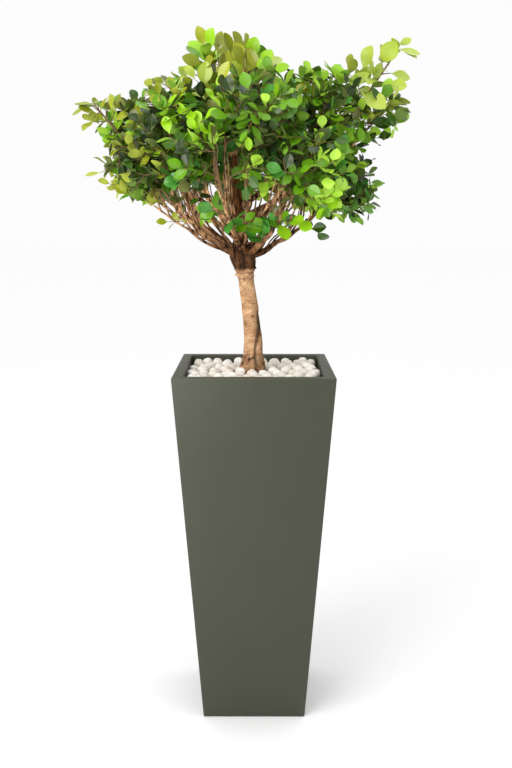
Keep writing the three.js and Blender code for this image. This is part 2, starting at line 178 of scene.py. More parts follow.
# %% Cloudy blend and fine grain
def new_group(name, inputs, outputs):
    """A node group with its sockets, what comes in, and the node that takes what goes out."""
    group = bpy.data.node_groups.new(name, "ShaderNodeTree")
    for way, sockets in (("INPUT", inputs), ("OUTPUT", outputs)):
        for socket, kind in sockets.items():
            group.interface.new_socket(socket, in_out=way, socket_type="NodeSocket" + kind)
    return group, add_node(group, "NodeGroupInput").outputs, add_node(group, "NodeGroupOutput")


cloudy, cloud_in, cloud_out = new_group(
    "cloudy_blend",
    dict(Vector="Vector", Dark="Color", Light="Color", Scale="Float", Contrast="Float"),
    dict(Color="Color", Share="Float"),
)
cloud_noise = add_node(cloudy, "ShaderNodeTexNoise", Vector=cloud_in["Vector"], Scale=cloud_in["Scale"],
                       Detail=5, Roughness=0.6)
cloud_centre = add_node(cloudy, "ShaderNodeMath", operation="SUBTRACT",
                        in_0=cloud_noise.outputs["Fac"], in_1=0.5)
cloud_gain = add_node(cloudy, "ShaderNodeMath", operation="MULTIPLY_ADD", use_clamp=True,
                      in_0=cloud_centre.outputs[0], in_1=cloud_in["Contrast"], in_2=0.5).outputs[0]
cloud_mix = add_node(cloudy, "ShaderNodeMix", data_type="RGBA",
                     in_0=cloud_gain, in_6=cloud_in["Dark"], in_7=cloud_in["Light"])
feed(cloudy, cloud_out, Color=cloud_mix.outputs[2], Share=cloud_gain)

grain, grain_in, grain_out = new_group(
    "grain_relief",
    dict(Vector="Vector", Scale="Float", Strength="Float", Distance="Float"),
    dict(Normal="Vector"),
)
grain_noise = add_node(grain, "ShaderNodeTexNoise", Vector=grain_in["Vector"], Scale=grain_in["Scale"],
                       Detail=4, Roughness=0.65)
grain_bump = add_node(grain, "ShaderNodeBump", Strength=grain_in["Strength"], Distance=grain_in["Distance"],
                      Height=grain_noise.outputs["Fac"])
feed(grain, grain_out, Normal=grain_bump.outputs["Normal"])
print("groups", cloudy.name, grain.name)

# %% [markdown]
# The finishes share a few more steps. Patterns read a piece's own coordinates, which may be drawn out along
# one axis for streaks and bands. Colours are mixed or multiplied, and some change with the height above the
# floor.

# %% Steps that finishes share
def object_place(tree, stretch=(1, 1, 1)):
    """Object coordinates, drawn out or squeezed along each axis."""
    place = add_node(tree, "ShaderNodeTexCoord").outputs["Object"]
    return add_node(tree, "ShaderNodeMapping", Vector=place, Scale=stretch).outputs["Vector"]


def share_by_height(tree, low, high):
    """A share that rises from 0 at one height to 1 at another."""
    place = add_node(tree, "ShaderNodeTexCoord").outputs["Object"]
    height = add_node(tree, "ShaderNodeSeparateXYZ", Vector=place).outputs["Z"]
    return add_node(tree, "ShaderNodeMapRange", Value=height, From_Min=low, From_Max=high).outputs["Result"]


def place_group(tree, group, place, **values):
    """Puts a node group in a material, fed with a place to read, and hands back its outputs."""
    return add_node(tree, "ShaderNodeGroup", node_tree=group, Vector=place, **values).outputs


def add_grain(tree, shader, place, **values):
    """Gives a shader the relief of fine grain."""
    feed(tree, shader, Normal=place_group(tree, grain, place, **values)["Normal"])


def mixed(tree, share, first, second, blend="MIX"):
    """A colour mixed from two sockets or plain colours."""
    return add_node(tree, "ShaderNodeMix", data_type="RGBA", blend_type=blend,
                    in_0=share, in_6=first, in_7=second).outputs[2]


def times(tree, colour, factor):
    return mixed(tree, 1.0, colour, factor, "MULTIPLY")


# %% [markdown]
# The planter is a thin shell of fibre clay, cast in a mould: four flat sides that lean out, a flat rim and
# a hollow inside. A cube is quick to turn into one. Its lower face is drawn in, its upper face is inset for
# the rim and pushed down for the hollow, and a bevel rounds every edge, as the mould does. Modelling the
# rim and the hollow as real faces gives the thin dark line where the rim turns down to the stones.

# %% Modelling steps
def start_piece(name):
    """Names the primitive that was just added."""
    piece = bpy.context.object
    piece.name = name
    piece.data.name = name
    return piece


def pick_faces(piece, wanted):
    """In edit mode, selects the faces whose normal passes a test."""
    bpy.ops.mesh.select_mode(type="FACE")
    bpy.ops.mesh.select_all(action="DESELECT")
    shape = bmesh.from_edit_mesh(piece.data)
    shape.normal_update()
    for face in [face for face in shape.faces if wanted(face.normal)]:
        face.select_set(True)
    bmesh.update_edit_mesh(piece.data)


def spread_faces(share):
    """Widens or narrows the selected faces about the middle."""
    bpy.ops.transform.resize(value=(share, share, 1), center_override=(0, 0, 0))


def push_faces(rise, share):
    """Extrudes the selected faces up or down, and then widens or narrows them."""
    bpy.ops.mesh.extrude_region_move(TRANSFORM_OT_translate={"value": (0, 0, rise)})
    spread_faces(share)


# %% [markdown]
# The size comes from the solid planter, whose box is read from its mesh. Rim, wall and hollow are those of
# the solid too, so that the dressed planter stands exactly where the solid one does.

# %% Planter shape
RIM_WIDTH, RIM_DEPTH = 0.025, 0.030
PLANTER_WALL, PLANTER_FLOOR = 0.012, 0.018
PLANTER_FOOT_SIDE = 0.261
EDGE_ROUND, EDGE_STEPS = 0.0035, 3
PLANTER_SMOOTH_ANGLE = math.radians(35)

pot_low, pot_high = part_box("pot")
planter_height = pot_high.z
planter_top_side = pot_high.x - pot_low.x


def planter_side_at(height):
    return PLANTER_FOOT_SIDE + (planter_top_side - PLANTER_FOOT_SIDE) * height / planter_height


opening_side = planter_top_side - 2 * RIM_WIDTH
hollow_top = planter_height - RIM_DEPTH
hollow_side = planter_side_at(hollow_top) - 2 * PLANTER_WALL
hollow_foot_side = planter_side_at(PLANTER_FLOOR) - 2 * PLANTER_WALL

bpy.ops.mesh.primitive_cube_add(size=1, location=(0, 0, planter_height / 2))
planter = start_piece("planter")
planter.scale = (planter_top_side, planter_top_side, planter_height)
bpy.ops.object.transform_apply(location=True, rotation=False, scale=True)
bpy.ops.object.mode_set(mode="EDIT")
pick_faces(planter, lambda normal: normal.z < -0.5)
spread_faces(PLANTER_FOOT_SIDE / planter_top_side)
pick_faces(planter, lambda normal: normal.z > 0.5)
bpy.ops.mesh.inset(thickness=RIM_WIDTH)
push_faces(-RIM_DEPTH, 1)
push_faces(0, hollow_side / opening_side)
push_faces(PLANTER_FLOOR - hollow_top, hollow_foot_side / hollow_side)
bpy.ops.object.mode_set(mode="OBJECT")
rounding = planter.modifiers.new("rounded_edges", "BEVEL")
rounding.width = EDGE_ROUND
rounding.segments = EDGE_STEPS
rounding.limit_method = "ANGLE"
bpy.ops.object.modifier_apply(modifier=rounding.name)
bpy.ops.object.shade_smooth_by_angle(angle=PLANTER_SMOOTH_ANGLE)
print("planter", len(planter.data.polygons), "faces, hollow", round(hollow_side, 3))

# %% [markdown]
# Fibre clay is painted in a dull olive grey. It isn't one flat colour: the paint is a little cloudy. The
# colour is also darker towards the foot, as painted shade, and paler on the flat of the rim, as a painted
# sheen of the bright sky. A fine grain blurs every reflection.

# %% Planter finish
# Painted shade: the clay is made darker towards the foot, where less light comes up from the floor.
FOOT_PAINTED_SHADE = (0.88, 0.88, 0.85, 1)
# Painted sheen: the flat of the rim is made paler, for the bright sky that it reflects.
RIM_PAINTED_SHEEN = (1.60, 1.56, 1.54, 1)
RIM_SHEEN_FROM, RIM_SHEEN_FULL = planter_height - EDGE_ROUND, planter_height - 0.2 * EDGE_ROUND
SHARP_DULLNESS, SOFT_DULLNESS = 0.40, 0.54

clay, clay_tree, clay_shader = new_finish("olive_fibre_clay", Specular_IOR_Level=0.5)
clay_place = object_place(clay_tree, (1, 1, 0.7))
clay_clouds = place_group(clay_tree, cloudy, clay_place, Scale=9, Contrast=1.6,
                          Dark=linear(51, 53, 37), Light=linear(57, 59, 43))
clay_specks = place_group(clay_tree, cloudy, clay_place, Scale=420, Contrast=1.2,
                          Dark=(0.9, 0.9, 0.9, 1), Light=(1.08, 1.08, 1.08, 1))
clay_paint = times(clay_tree, clay_clouds["Color"], clay_specks["Color"])
clay_foot_shaded = times(clay_tree, clay_paint, FOOT_PAINTED_SHADE)
clay_paint = mixed(clay_tree, share_by_height(clay_tree, 0, planter_height), clay_foot_shaded, clay_paint)
clay_sheened = times(clay_tree, clay_paint, RIM_PAINTED_SHEEN)
sheen_share = share_by_height(clay_tree, RIM_SHEEN_FROM, RIM_SHEEN_FULL)
clay_dullness = add_node(clay_tree, "ShaderNodeMapRange", Value=clay_clouds["Share"],
                         To_Min=SHARP_DULLNESS, To_Max=SOFT_DULLNESS)
feed(clay_tree, clay_shader, Base_Color=mixed(clay_tree, sheen_share, clay_paint, clay_sheened),
     Roughness=clay_dullness.outputs["Result"])
add_grain(clay_tree, clay_shader, clay_place, Scale=700, Strength=0.12, Distance=0.0006)
planter.data.materials.append(clay)
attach(planter, "root")
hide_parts("pot")
print("finish", clay.name)

# %% [markdown]
# Under the stones lies damp potting soil. Only specks of it show between them, so its solid stays as it is
# and gets a dark crumbly finish: a cloudy brown with a coarse relief and no shine.

# %% Soil finish
soil_finish, soil_tree, soil_shader = new_finish("damp_soil", Roughness=0.95)
soil_place = object_place(soil_tree)
soil_clouds = place_group(soil_tree, cloudy, soil_place, Scale=160, Contrast=2.2,
                          Dark=linear(30, 21, 15), Light=linear(72, 54, 40))
feed(soil_tree, soil_shader, Base_Color=soil_clouds["Color"])
add_grain(soil_tree, soil_shader, soil_place, Scale=240, Strength=0.8, Distance=0.004)
nodes["soil"].data.materials.clear()
nodes["soil"].data.materials.append(soil_finish)
print("finish", soil_finish.name)

# %% [markdown]
# The plant's own shape is worked out before the stones, because they lie round its foot. The tree follows
# one rule from the ground to the leaves. A stream of repeatable numbers gives every run the same tree, and
# the noise that bends its limbs is seeded for the same reason. Curves are drawn by a few handles, as with a
# pen.

# %% Rule of growth: numbers and curves
UP = np.array((0.0, 0.0, 1.0))
GOLDEN_ANGLE = math.pi * (3 - math.sqrt(5))
NOISE_SEED = 3
noise.seed_set(NOISE_SEED)
DRAW_RANGE = 2 ** 32
SEED_FACTOR, DRAW_FACTOR, DRAW_EXTRA = 2654435761, 1664525, 1013904223


class Seeded:
    """A stream of repeatable numbers from 0 to 1."""

    def __init__(self, seed):
        self.state = seed * SEED_FACTOR % DRAW_RANGE

    def __call__(self):
        self.state = (self.state * DRAW_FACTOR + DRAW_EXTRA) % DRAW_RANGE
        return self.state / DRAW_RANGE

    def between(self, low, high):
        return low + (high - low) * self()


def mix(start, end, share):
    return start + (end - start) * share


def unit(vector):
    return vector / np.linalg.norm(vector)


def curve_point(handles, share):
    """A point on the smooth curve that a few handles draw."""
    points = [np.asarray(handle, float) for handle in handles]
    while len(points) > 1:
        points = [mix(a, b, share) for a, b in zip(points, points[1:])]
    return points[0]


def curve_heading(handles, share):
    steps = [np.subtract(b, a) for a, b in zip(handles, handles[1:])]
    return unit(curve_point(steps, share))


# %% [markdown]
# The trunk is a tapering shaft that leans to the left. It flares into roots at its foot, swells to a head
# where the boughs leave it, and carries a strand of root down its right side. The solid trunk has the same
# curve, so the sheet of bark that comes later lies on it like a skin.

# %% Rule of growth: trunk
SEAT_GAP = 0.0003
GROUND = 0.860 + SEAT_GAP
TRUNK_HANDLES = (
    (-0.009, 0.0, GROUND),
    (0.012, 0.008, 1.030),
    (-0.038, -0.008, 1.130),
    (-0.050, 0.0, 1.430),
)
TRUNK_TIP = TRUNK_HANDLES[-1][2]
SHAFT_FOOT, SHAFT_NECK, SHAFT_TIP = 0.022, 0.019, 0.008
FLARE_EXTRA, FLARE_HEIGHT, FLARE_LOBES = 0.009, 0.026, 4
FLARE_LOBE_DEPTH, FLARE_LOBE_TURN = 0.3, 0.6
HEAD_HEIGHT, HEAD_EXTRA, HEAD_SPREAD = 1.172, 0.011, 0.030
STRAND_EXTRA, STRAND_TURN, STRAND_WIDTH = 0.007, -0.5, 0.45
STRAND_TOP, STRAND_FADE = 1.050, 0.022
HEIGHT_STEP = 1e-6


def turn_between(turn, other):
    """The way from one turn to another, at most half round."""
    return math.atan2(math.sin(turn - other), math.cos(turn - other))


def bell(value, spread):
    """A soft hump: 1 at zero, falling off on both sides."""
    return math.exp(-((value / spread) ** 2))


def trunk_radius(height, turn):
    """The trunk's radius: a tapering shaft, a lobed flare, the swollen head and a strand of root."""
    if height < HEAD_HEIGHT:
        shaft = mix(SHAFT_FOOT, SHAFT_NECK, (height - GROUND) / (HEAD_HEIGHT - GROUND))
    else:
        shaft = mix(SHAFT_NECK, SHAFT_TIP, (height - HEAD_HEIGHT) / (TRUNK_TIP - HEAD_HEIGHT))
    lobes = 1 + FLARE_LOBE_DEPTH * math.cos(FLARE_LOBES * turn + FLARE_LOBE_TURN)
    flare = FLARE_EXTRA * lobes * math.exp((GROUND - height) / FLARE_HEIGHT)
    head = HEAD_EXTRA * bell(height - HEAD_HEIGHT, HEAD_SPREAD)
    fade = 1 / (1 + math.exp((height - STRAND_TOP) / STRAND_FADE))
    return shaft + flare + head + STRAND_EXTRA * fade * bell(turn_between(turn, STRAND_TURN), STRAND_WIDTH)


def trunk_share_at(height):
    """How far along its curve the trunk reaches a height."""
    low, high = 0.0, 1.0
    while high - low > HEIGHT_STEP:
        middle = (low + high) / 2
        if curve_point(TRUNK_HANDLES, middle)[2] < height:
            low = middle
        else:
            high = middle
    return low


print("trunk from", GROUND, "to", TRUNK_TIP)

# %% [markdown]
# The leaves grow in round masses that stand in rings: a skirt, a shoulder above it and a crest on top.
# Three single masses stand out at the sides on long boughs. Every bough leaves the trunk, bends up at a
# knee and ends where it enters its mass. A flat wall between each two masses divides their room, as
# branches share the light.

# %% Rule of growth: boughs and the spaces of the leaf masses
TIERS = (
    dict(name="skirt", count=7, first_turn=0, middle=-0.032, ring=0.232, arch=0.045, tilt=-0.012,
         height=1.343, radius=0.118, fork=1.166, bough_foot=0.0065, bough_tip=0.0034, leaf=0.084),
    dict(name="shoulder", count=7, first_turn=math.pi, middle=-0.042, ring=0.222, arch=0, tilt=0.024,
         height=1.486, radius=0.114, fork=1.214, bough_foot=0.0052, bough_tip=0.0032, leaf=0.084),
    dict(name="crest", count=3, first_turn=3.5, middle=-0.052, ring=0.050, arch=0, tilt=0,
         height=1.612, radius=0.098, fork=1.404, bough_foot=0.0046, bough_tip=0.0032, leaf=0.066),
    dict(name="sprig", count=1, first_turn=-0.06, middle=0, ring=0.318, arch=0, tilt=0,
         height=1.626, radius=0.078, fork=1.292, bough_foot=0.0050, bough_tip=0.0030, leaf=0.066),
    dict(name="spur", count=1, first_turn=-0.2, middle=0, ring=0.304, arch=0, tilt=0,
         height=1.508, radius=0.072, fork=1.266, bough_foot=0.0046, bough_tip=0.0030, leaf=0.054),
    dict(name="shoot", count=1, first_turn=math.pi + 0.22, middle=0, ring=0.364, arch=0, tilt=0,
         height=1.508, radius=0.068, fork=1.262, bough_foot=0.0046, bough_tip=0.0030, leaf=0.050),
)
FORK_STAGGER = 0.016
KNEE_OUT, KNEE_UP = 0.6, 0.38
ENTRY_SHARE = 0.8
BOUGH_COLLAR, BOUGH_COLLAR_SHARE = 0.0015, 0.2


def round_turn(turn):
    """The level direction at a turn about the trunk."""
    return np.array((math.cos(turn), math.sin(turn), 0))


def masses_of(tier):
    """The leaf masses of one ring, each with its own round space and its own bough."""
    for index in range(tier["count"]):
        turn = tier["first_turn"] + index * 2 * math.pi / tier["count"]
        rise = tier["arch"] * abs(math.sin(turn)) + tier["tilt"] * math.cos(turn)
        centre = np.array((tier["middle"], 0, tier["height"] + rise)) + tier["ring"] * round_turn(turn)
        start = curve_point(TRUNK_HANDLES, trunk_share_at(tier["fork"] + index % 2 * FORK_STAGGER))
        knee = start + (centre - start) * (KNEE_OUT, KNEE_OUT, KNEE_UP)
        end = centre - unit(centre - knee) * tier["radius"] * ENTRY_SHARE
        yield dict(tier=tier, kind=tier["name"], label=f"{tier['name']}_{index + 1}", centre=centre,
                   radius=tier["radius"], handles=(start, knee, end),
                   heading=curve_heading((start, knee, end), 1))


def bough_radius(tier, share):
    collar = BOUGH_COLLAR * math.exp(-share / BOUGH_COLLAR_SHARE)
    return mix(tier["bough_foot"], tier["bough_tip"], share) + collar


masses = [mass for tier in TIERS for mass in masses_of(tier)]
for mass in masses:
    others = [other for other in masses if other is not mass]
    across = np.array([other["centre"] - mass["centre"] for other in others])
    shares = np.array([mass["radius"] / (mass["radius"] + other["radius"]) for other in others])
    mass["wall_normals"] = across / np.linalg.norm(across, axis=1)[:, None]
    mass["wall_points"] = mass["centre"] + across * shares[:, None]
print("leaf masses", len(masses))

# %% [markdown]
# A twig may only grow inside the space of its own mass: a ball, cut by a flat wall against each neighbour.
# One more ball fills the heart of the crown between them. Beads along the trunk and the boughs keep leaves
# off the wood. The tests are asked often, so they work on whole arrays of points.

# %% Rule of growth: room and clearance
LIMB_CLEARANCE = 0.002
TRUNK_BEADS, BOUGH_BEADS = 80, 40
SMALLEST_CLOSING = 1e-6
HEART = dict(kind="shoulder", centre=np.array((-0.040, 0.0, 1.500)), radius=0.135)

beads = []
for share in np.linspace(0, 1, TRUNK_BEADS + 1):
    place = curve_point(TRUNK_HANDLES, share)
    beads.append((*place, trunk_radius(place[2], 0)))
for mass in masses:
    for share in np.linspace(0, 1, BOUGH_BEADS + 1):
        beads.append((*curve_point(mass["handles"], share), bough_radius(mass["tier"], share)))
bead_places, bead_radii = np.array(beads)[:, :3], np.array(beads)[:, 3]

balls = [*masses, HEART]
ball_centres = np.array([ball["centre"] for ball in balls])
ball_radii = np.array([ball["radius"] for ball in balls])


def clear_of_limbs(points):
    reach = np.linalg.norm(points[:, None] - bead_places[None], axis=2)
    return bool(np.all(reach > bead_radii + LIMB_CLEARANCE))


def depths_in_balls(place):
    """How deep a place lies in each ball. Outside a ball the depth is below zero."""
    return ball_radii - np.linalg.norm(ball_centres - place, axis=1)


def room_along(mass, start, heading):
    """How far a straight twig can run before it leaves the space."""
    to_middle = start - mass["centre"]
    lean = to_middle @ heading
    inside = mass["radius"] ** 2 - to_middle @ to_middle
    room = -lean + math.sqrt(max(0, lean * lean + inside))
    closing = mass["wall_normals"] @ heading
    gap = np.einsum("wk,wk->w", mass["wall_points"] - start, mass["wall_normals"])
    ahead = closing > SMALLEST_CLOSING
    return min(room, np.min(gap[ahead] / closing[ahead], initial=room))


print("beads", len(beads), "balls", len(balls))

# %% [markdown]
# Many limbs become one mesh: each is a tube, a ring of points carried along its curve, closed at both ends.
# The rings swell and shrink a little by a noise that runs along the limb, which is the relief of its bark.
# Arrays are the right tool for so many small tubes, since modelling each by hand would give the same rings.
# Leaves and pebbles are copied through arrays too, so what turns an array into a piece is written once.

# %% Pieces and tubes from arrays
SHORTEST_SIDE = 1e-9


def mesh_piece(name, points, faces, *finishes):
    """A smooth piece at the origin, made of arrays of points and faces."""
    mesh = bpy.data.meshes.new(name)
    mesh.from_pydata(np.asarray(points).tolist(), [], faces)
    mesh.shade_smooth()
    for finish in finishes:
        mesh.materials.append(finish)
    piece = bpy.data.objects.new(name, mesh)
    bpy.context.scene.collection.objects.link(piece)
    return piece


def copied_faces(faces, size, count):
    """The faces of a number of copies of one shape, which has so many points."""
    return [tuple(corner + size * k for corner in face) for k in range(count) for face in faces]


class Tubes:
    """Collects tubes and makes them one mesh."""

    def __init__(self):
        self.points, self.faces, self.count = [], [], 0

    def add(self, line, radii, sides, relief=0.0, relief_scale=60.0):
        line = np.asarray(line, float)
        headings = np.gradient(line, axis=0)
        side = np.cross(line[-1] - line[0], UP)
        side = np.array((1.0, 0, 0)) if side @ side < SHORTEST_SIDE else side
        turns = np.arange(sides) * 2 * math.pi / sides
        first = len(self.points)
        for place, heading, radius in zip(line, headings, radii):
            along = unit(heading)
            across = unit(side - (side @ along) * along)
            outward = np.cross(across, along)
            for turn in turns:
                spoke = across * math.cos(turn) + outward * math.sin(turn)
                swell = 1.0
                if relief:
                    swell += relief * noise.noise(Vector((place + spoke * radius) * relief_scale))
                self.points.append(place + spoke * radius * swell)
        for ring in range(len(line) - 1):
            for k in range(sides):
                a = first + ring * sides + k
                b = first + ring * sides + (k + 1) % sides
                self.faces.append((a, a + sides, b + sides, b))
        last = len(self.points) - sides
        self.faces.append(tuple(range(first, first + sides)))
        self.faces.append(tuple(reversed(range(last, last + sides))))
        self.count += 1

    def piece(self, name, finish):
        return mesh_piece(name, self.points, self.faces, finish)


# %% [markdown]
# The trunk is the piece of wood that everyone sees, so its bark is real relief and not only paint. A few
# functions say how far the bark stands out at a height and a turn about the trunk, and how dark it is
# there. Knots are small swellings with a dark eye. Flakes of bark stick out at the graft, with painted
# shade under them. A groove runs down beside the strand of root; the groove and one side of the strand
# are darkened as painted shade. The head has ribs, with painted shade in the hollows between them.

# %% Marks on the trunk
KNOTS = ((1.006, -2.35), (1.027, -1.30), (1.118, -1.81), (1.117, -2.60),
         (0.936, -3.0), (1.060, 0.9), (0.985, 1.9))
KNOT_SPREAD, KNOT_EXTRA, KNOT_TRUNK_RADIUS = 0.0055, 0.0022, 0.021
KNOT_EYE_DEPTH, KNOT_EYE_SHARE = 1.3, 0.45
KNOT_DARK, KNOT_DARK_SHARE = 0.78, 0.72
FLAKES = ((1.129, -2.95, 0.0070), (1.131, -1.30, 0.0030), (1.146, -0.10, 0.0065), (1.148, -2.70, 0.0045),
          (1.130, 1.20, 0.0055), (1.147, 2.10, 0.0050))
FLAKE_HEIGHT, FLAKE_TURN = 0.0028, 0.24
FLAKE_SHADE, FLAKE_SHADE_DROP = 0.6, 2.4
GROOVE_TOP, GROOVE_TAPER, GROOVE_POINT = 1.052, 0.024, 0.35
GROOVE_WIDTH_TOP, GROOVE_WIDTH_FOOT = 0.44, 0.15
GROOVE_DEPTH, GROOVE_SHADE_TOP, GROOVE_SHADE_FOOT = 0.0045, 0.95, 0.72
GROOVE_TURN_TOP, GROOVE_TURN_FOOT = -0.50, -1.20
GROOVE_BEND_HIGH, GROOVE_BEND_LOW = 1.015, 0.935
GROOVE_WANDER, GROOVE_WANDER_SCALE = 0.10, 45
STRAND_SHADE, STRAND_SHADE_FADE = 0.42, 0.02
STRAND_SHADE_ASIDE, STRAND_SHADE_WIDTH = 0.75, 0.50
HEAD_RIBS, HEAD_RIB_DEPTH = 5, 0.0026
HEAD_HOLLOW_TOP, HEAD_HOLLOW_FADE, HEAD_HOLLOW_SHADE = 1.212, 0.02, 0.85


def smooth_step(low, high, value):
    share = min(1, max(0, (value - low) / (high - low)))
    return share * share * (3 - 2 * share)


def knot_marks(height, turn):
    """Relief and darkness of the knots."""
    relief, dark = 0.0, 0.0
    for knot_height, knot_turn in KNOTS:
        away = math.hypot(height - knot_height, KNOT_TRUNK_RADIUS * turn_between(turn, knot_turn))
        eye = KNOT_EYE_DEPTH * bell(away, KNOT_EYE_SHARE * KNOT_SPREAD)
        relief += KNOT_EXTRA * (bell(away, KNOT_SPREAD) - eye)
        dark = max(dark, KNOT_DARK * bell(away, KNOT_DARK_SHARE * KNOT_SPREAD))
    return relief, dark


def flake_marks(height, turn):
    """Relief of the flakes, and the painted shade under them."""
    relief, dark = 0.0, 0.0
    for flake_height, flake_turn, reach in FLAKES:
        above = height - flake_height
        lift = bell(turn_between(turn, flake_turn), FLAKE_TURN)
        relief += reach * lift * bell(above, FLAKE_HEIGHT)
        dark = max(dark, FLAKE_SHADE * lift * bell(above + FLAKE_SHADE_DROP * FLAKE_HEIGHT, FLAKE_HEIGHT))
    return relief, dark


def groove_marks(height, turn):
    """Relief of the groove beside the strand of root, and the painted shade in it and on the strand's side.
    """
    below_top = GROOVE_TOP - height
    bend = smooth_step(GROOVE_BEND_LOW, GROOVE_BEND_HIGH, height)
    wander = GROOVE_WANDER * noise.noise(Vector((0, 0, height * GROOVE_WANDER_SCALE)))
    aside = turn_between(turn, mix(GROOVE_TURN_FOOT, GROOVE_TURN_TOP, bend) + wander)
    opening = smooth_step(0, GROOVE_TAPER, below_top)
    width = mix(GROOVE_WIDTH_FOOT, GROOVE_WIDTH_TOP, bend) * mix(GROOVE_POINT, 1, opening)
    cleft = opening * bell(aside, width)
    shaded = STRAND_SHADE * bell(aside - STRAND_SHADE_ASIDE, STRAND_SHADE_WIDTH)
    shaded *= smooth_step(0, STRAND_SHADE_FADE, below_top)
    return -GROOVE_DEPTH * cleft, max(mix(GROOVE_SHADE_FOOT, GROOVE_SHADE_TOP, bend) * cleft, shaded)


def head_marks(height, turn, brown):
    """Relief of the head's ribs, and the painted shade in the hollows between them."""
    hollow = 0.5 + 0.5 * math.cos(HEAD_RIBS * (turn + math.pi / 2))
    on_head = brown * smooth_step(0, HEAD_HOLLOW_FADE, HEAD_HOLLOW_TOP - height)
    return HEAD_RIB_DEPTH * (1 - 2 * hollow) * on_head, HEAD_HOLLOW_SHADE * hollow ** 2 * on_head


print("knots", len(KNOTS), "flakes", len(FLAKES), "ribs", HEAD_RIBS)

# %% [markdown]
# The rest of the bark is noise. The pale lower trunk has lumps and fine cross wrinkles. Two ragged rings
# show where the crown was grafted on, with painted shade under each, and the bark above them is brown
# with coarse furrows. The foot is rough and cracked. All of it adds up to one relief, one share of brown
# and one of dark, which holds the cracks and knots and the painted shade.

# %% Trunk relief
LUMP_DEPTH, LUMPS_AROUND, LUMPS_ALONG = 0.0012, 1.1, 22
WRINKLE_DEPTH, WRINKLES_AROUND, WRINKLES_ALONG = 0.0005, 0.9, 330
FURROW_DEPTH, FURROWS_AROUND, FURROWS_ALONG = 0.0034, 3.4, 26
GRAFT_HEIGHT, GRAFT_SPREAD, GRAFT_EXTRA = 1.140, 0.0035, 0.0036
GRAFT_RAGGED, RAGGED_AROUND, RAGGED_AT = 0.0035, 2.2, 7.3
GRAFT_LEVEL, GRAFT_SWAY, SWAY_AROUND, SWAY_AT = 0.7, 0.6, 3.0, 3.1
LOWER_GRAFT_DROP, LOWER_GRAFT_SHARE = 0.013, 0.7
GRAFT_SHADE, GRAFT_SHADE_DROP, GRAFT_SHADE_SPREAD = 0.62, 0.006, 0.0022
BROWN_FROM, BROWN_FULL = -0.001, 0.006
FOOT_BARK_TOP, FOOT_BARK_FADE, FOOT_BROWN = 0.927, 0.006, 0.30
FOOT_LIFT, FOOT_FURROWS = 0.0012, 0.0016
FOOT_EXTRA, FOOT_SWELL = 0.0055, 0.030
CRACKS_TOP, CRACKS_FADE, CRACKS_AROUND, CRACKS_ALONG = 0.955, 0.05, 2.6, 95
CRACK_EDGE, CRACK_DARK, CRACK_DARK_FOOT = 0.04, 1.3, 2.2


def bark_noise(turn, around, along):
    """A noise on the bark, from how fast it changes round the trunk and where it is read along it."""
    return noise.noise(Vector(round_turn(turn)) * around + Vector((0, 0, along)))


def graft_marks(above, turn):
    """Relief of the two graft rings, one thick where the other is thin, and the painted shade under them."""
    sway = GRAFT_LEVEL + GRAFT_SWAY * bark_noise(turn, SWAY_AROUND, SWAY_AT)
    lower = above + LOWER_GRAFT_DROP
    relief = GRAFT_EXTRA * sway * bell(above, GRAFT_SPREAD)
    relief += LOWER_GRAFT_SHARE * GRAFT_EXTRA * (2 * GRAFT_LEVEL - sway) * bell(lower, GRAFT_SPREAD)
    shade = max(bell(ring + GRAFT_SHADE_DROP, GRAFT_SHADE_SPREAD) for ring in (above, lower))
    return relief, GRAFT_SHADE * shade * (0.5 + 0.5 * sway)


def bark_at(height, turn):
    """Relief of the bark, how brown it is, and how dark from cracks, knots and painted shade, at a height and
    a turn about the trunk.
    """
    ragged = GRAFT_RAGGED * bark_noise(turn, RAGGED_AROUND, RAGGED_AT)
    above = height - GRAFT_HEIGHT - ragged
    brown = smooth_step(BROWN_FROM, BROWN_FULL, above)
    lumps = LUMP_DEPTH * bark_noise(turn, LUMPS_AROUND, height * LUMPS_ALONG)
    wrinkles = WRINKLE_DEPTH * bark_noise(turn, WRINKLES_AROUND, height * WRINKLES_ALONG)
    furrows = bark_noise(turn, FURROWS_AROUND, height * FURROWS_ALONG)
    marks = (graft_marks(above, turn), knot_marks(height, turn), flake_marks(height, turn),
             groove_marks(height, turn), head_marks(height, turn, brown))
    relief = lumps + mix(wrinkles, FURROW_DEPTH * furrows, brown) + sum(lift for lift, _ in marks)
    rough = smooth_step(0, FOOT_BARK_FADE, FOOT_BARK_TOP + 2 * ragged - height)
    swell = FOOT_EXTRA * smooth_step(0, FOOT_SWELL, FOOT_BARK_TOP - height)
    relief += rough * (FOOT_LIFT + FOOT_FURROWS * furrows + swell)
    cracks = max(0, bark_noise(turn, CRACKS_AROUND, height * CRACKS_ALONG) - CRACK_EDGE)
    cracked = mix(CRACK_DARK, CRACK_DARK_FOOT, rough) * cracks
    cracked *= smooth_step(0, CRACKS_FADE, CRACKS_TOP - height)
    return relief, max(brown, FOOT_BROWN * rough), min(1, max(cracked, *[dark for _, dark in marks]))


# %% [markdown]
# A flat grid stands for the sheet of bark. It is rolled round the trunk's axis, and every point is pushed
# in or out by the relief. The shares of brown and of dark, where the dark holds painted shade as well as
# cracks and knots, stay with the points as attributes, which the finish reads.

# %% Trunk shape
TRUNK_TURNS, TRUNK_RINGS = 72, 260
TRUNK_SMOOTH_ANGLE = math.radians(60)
SEAM_REACH = 1e-6

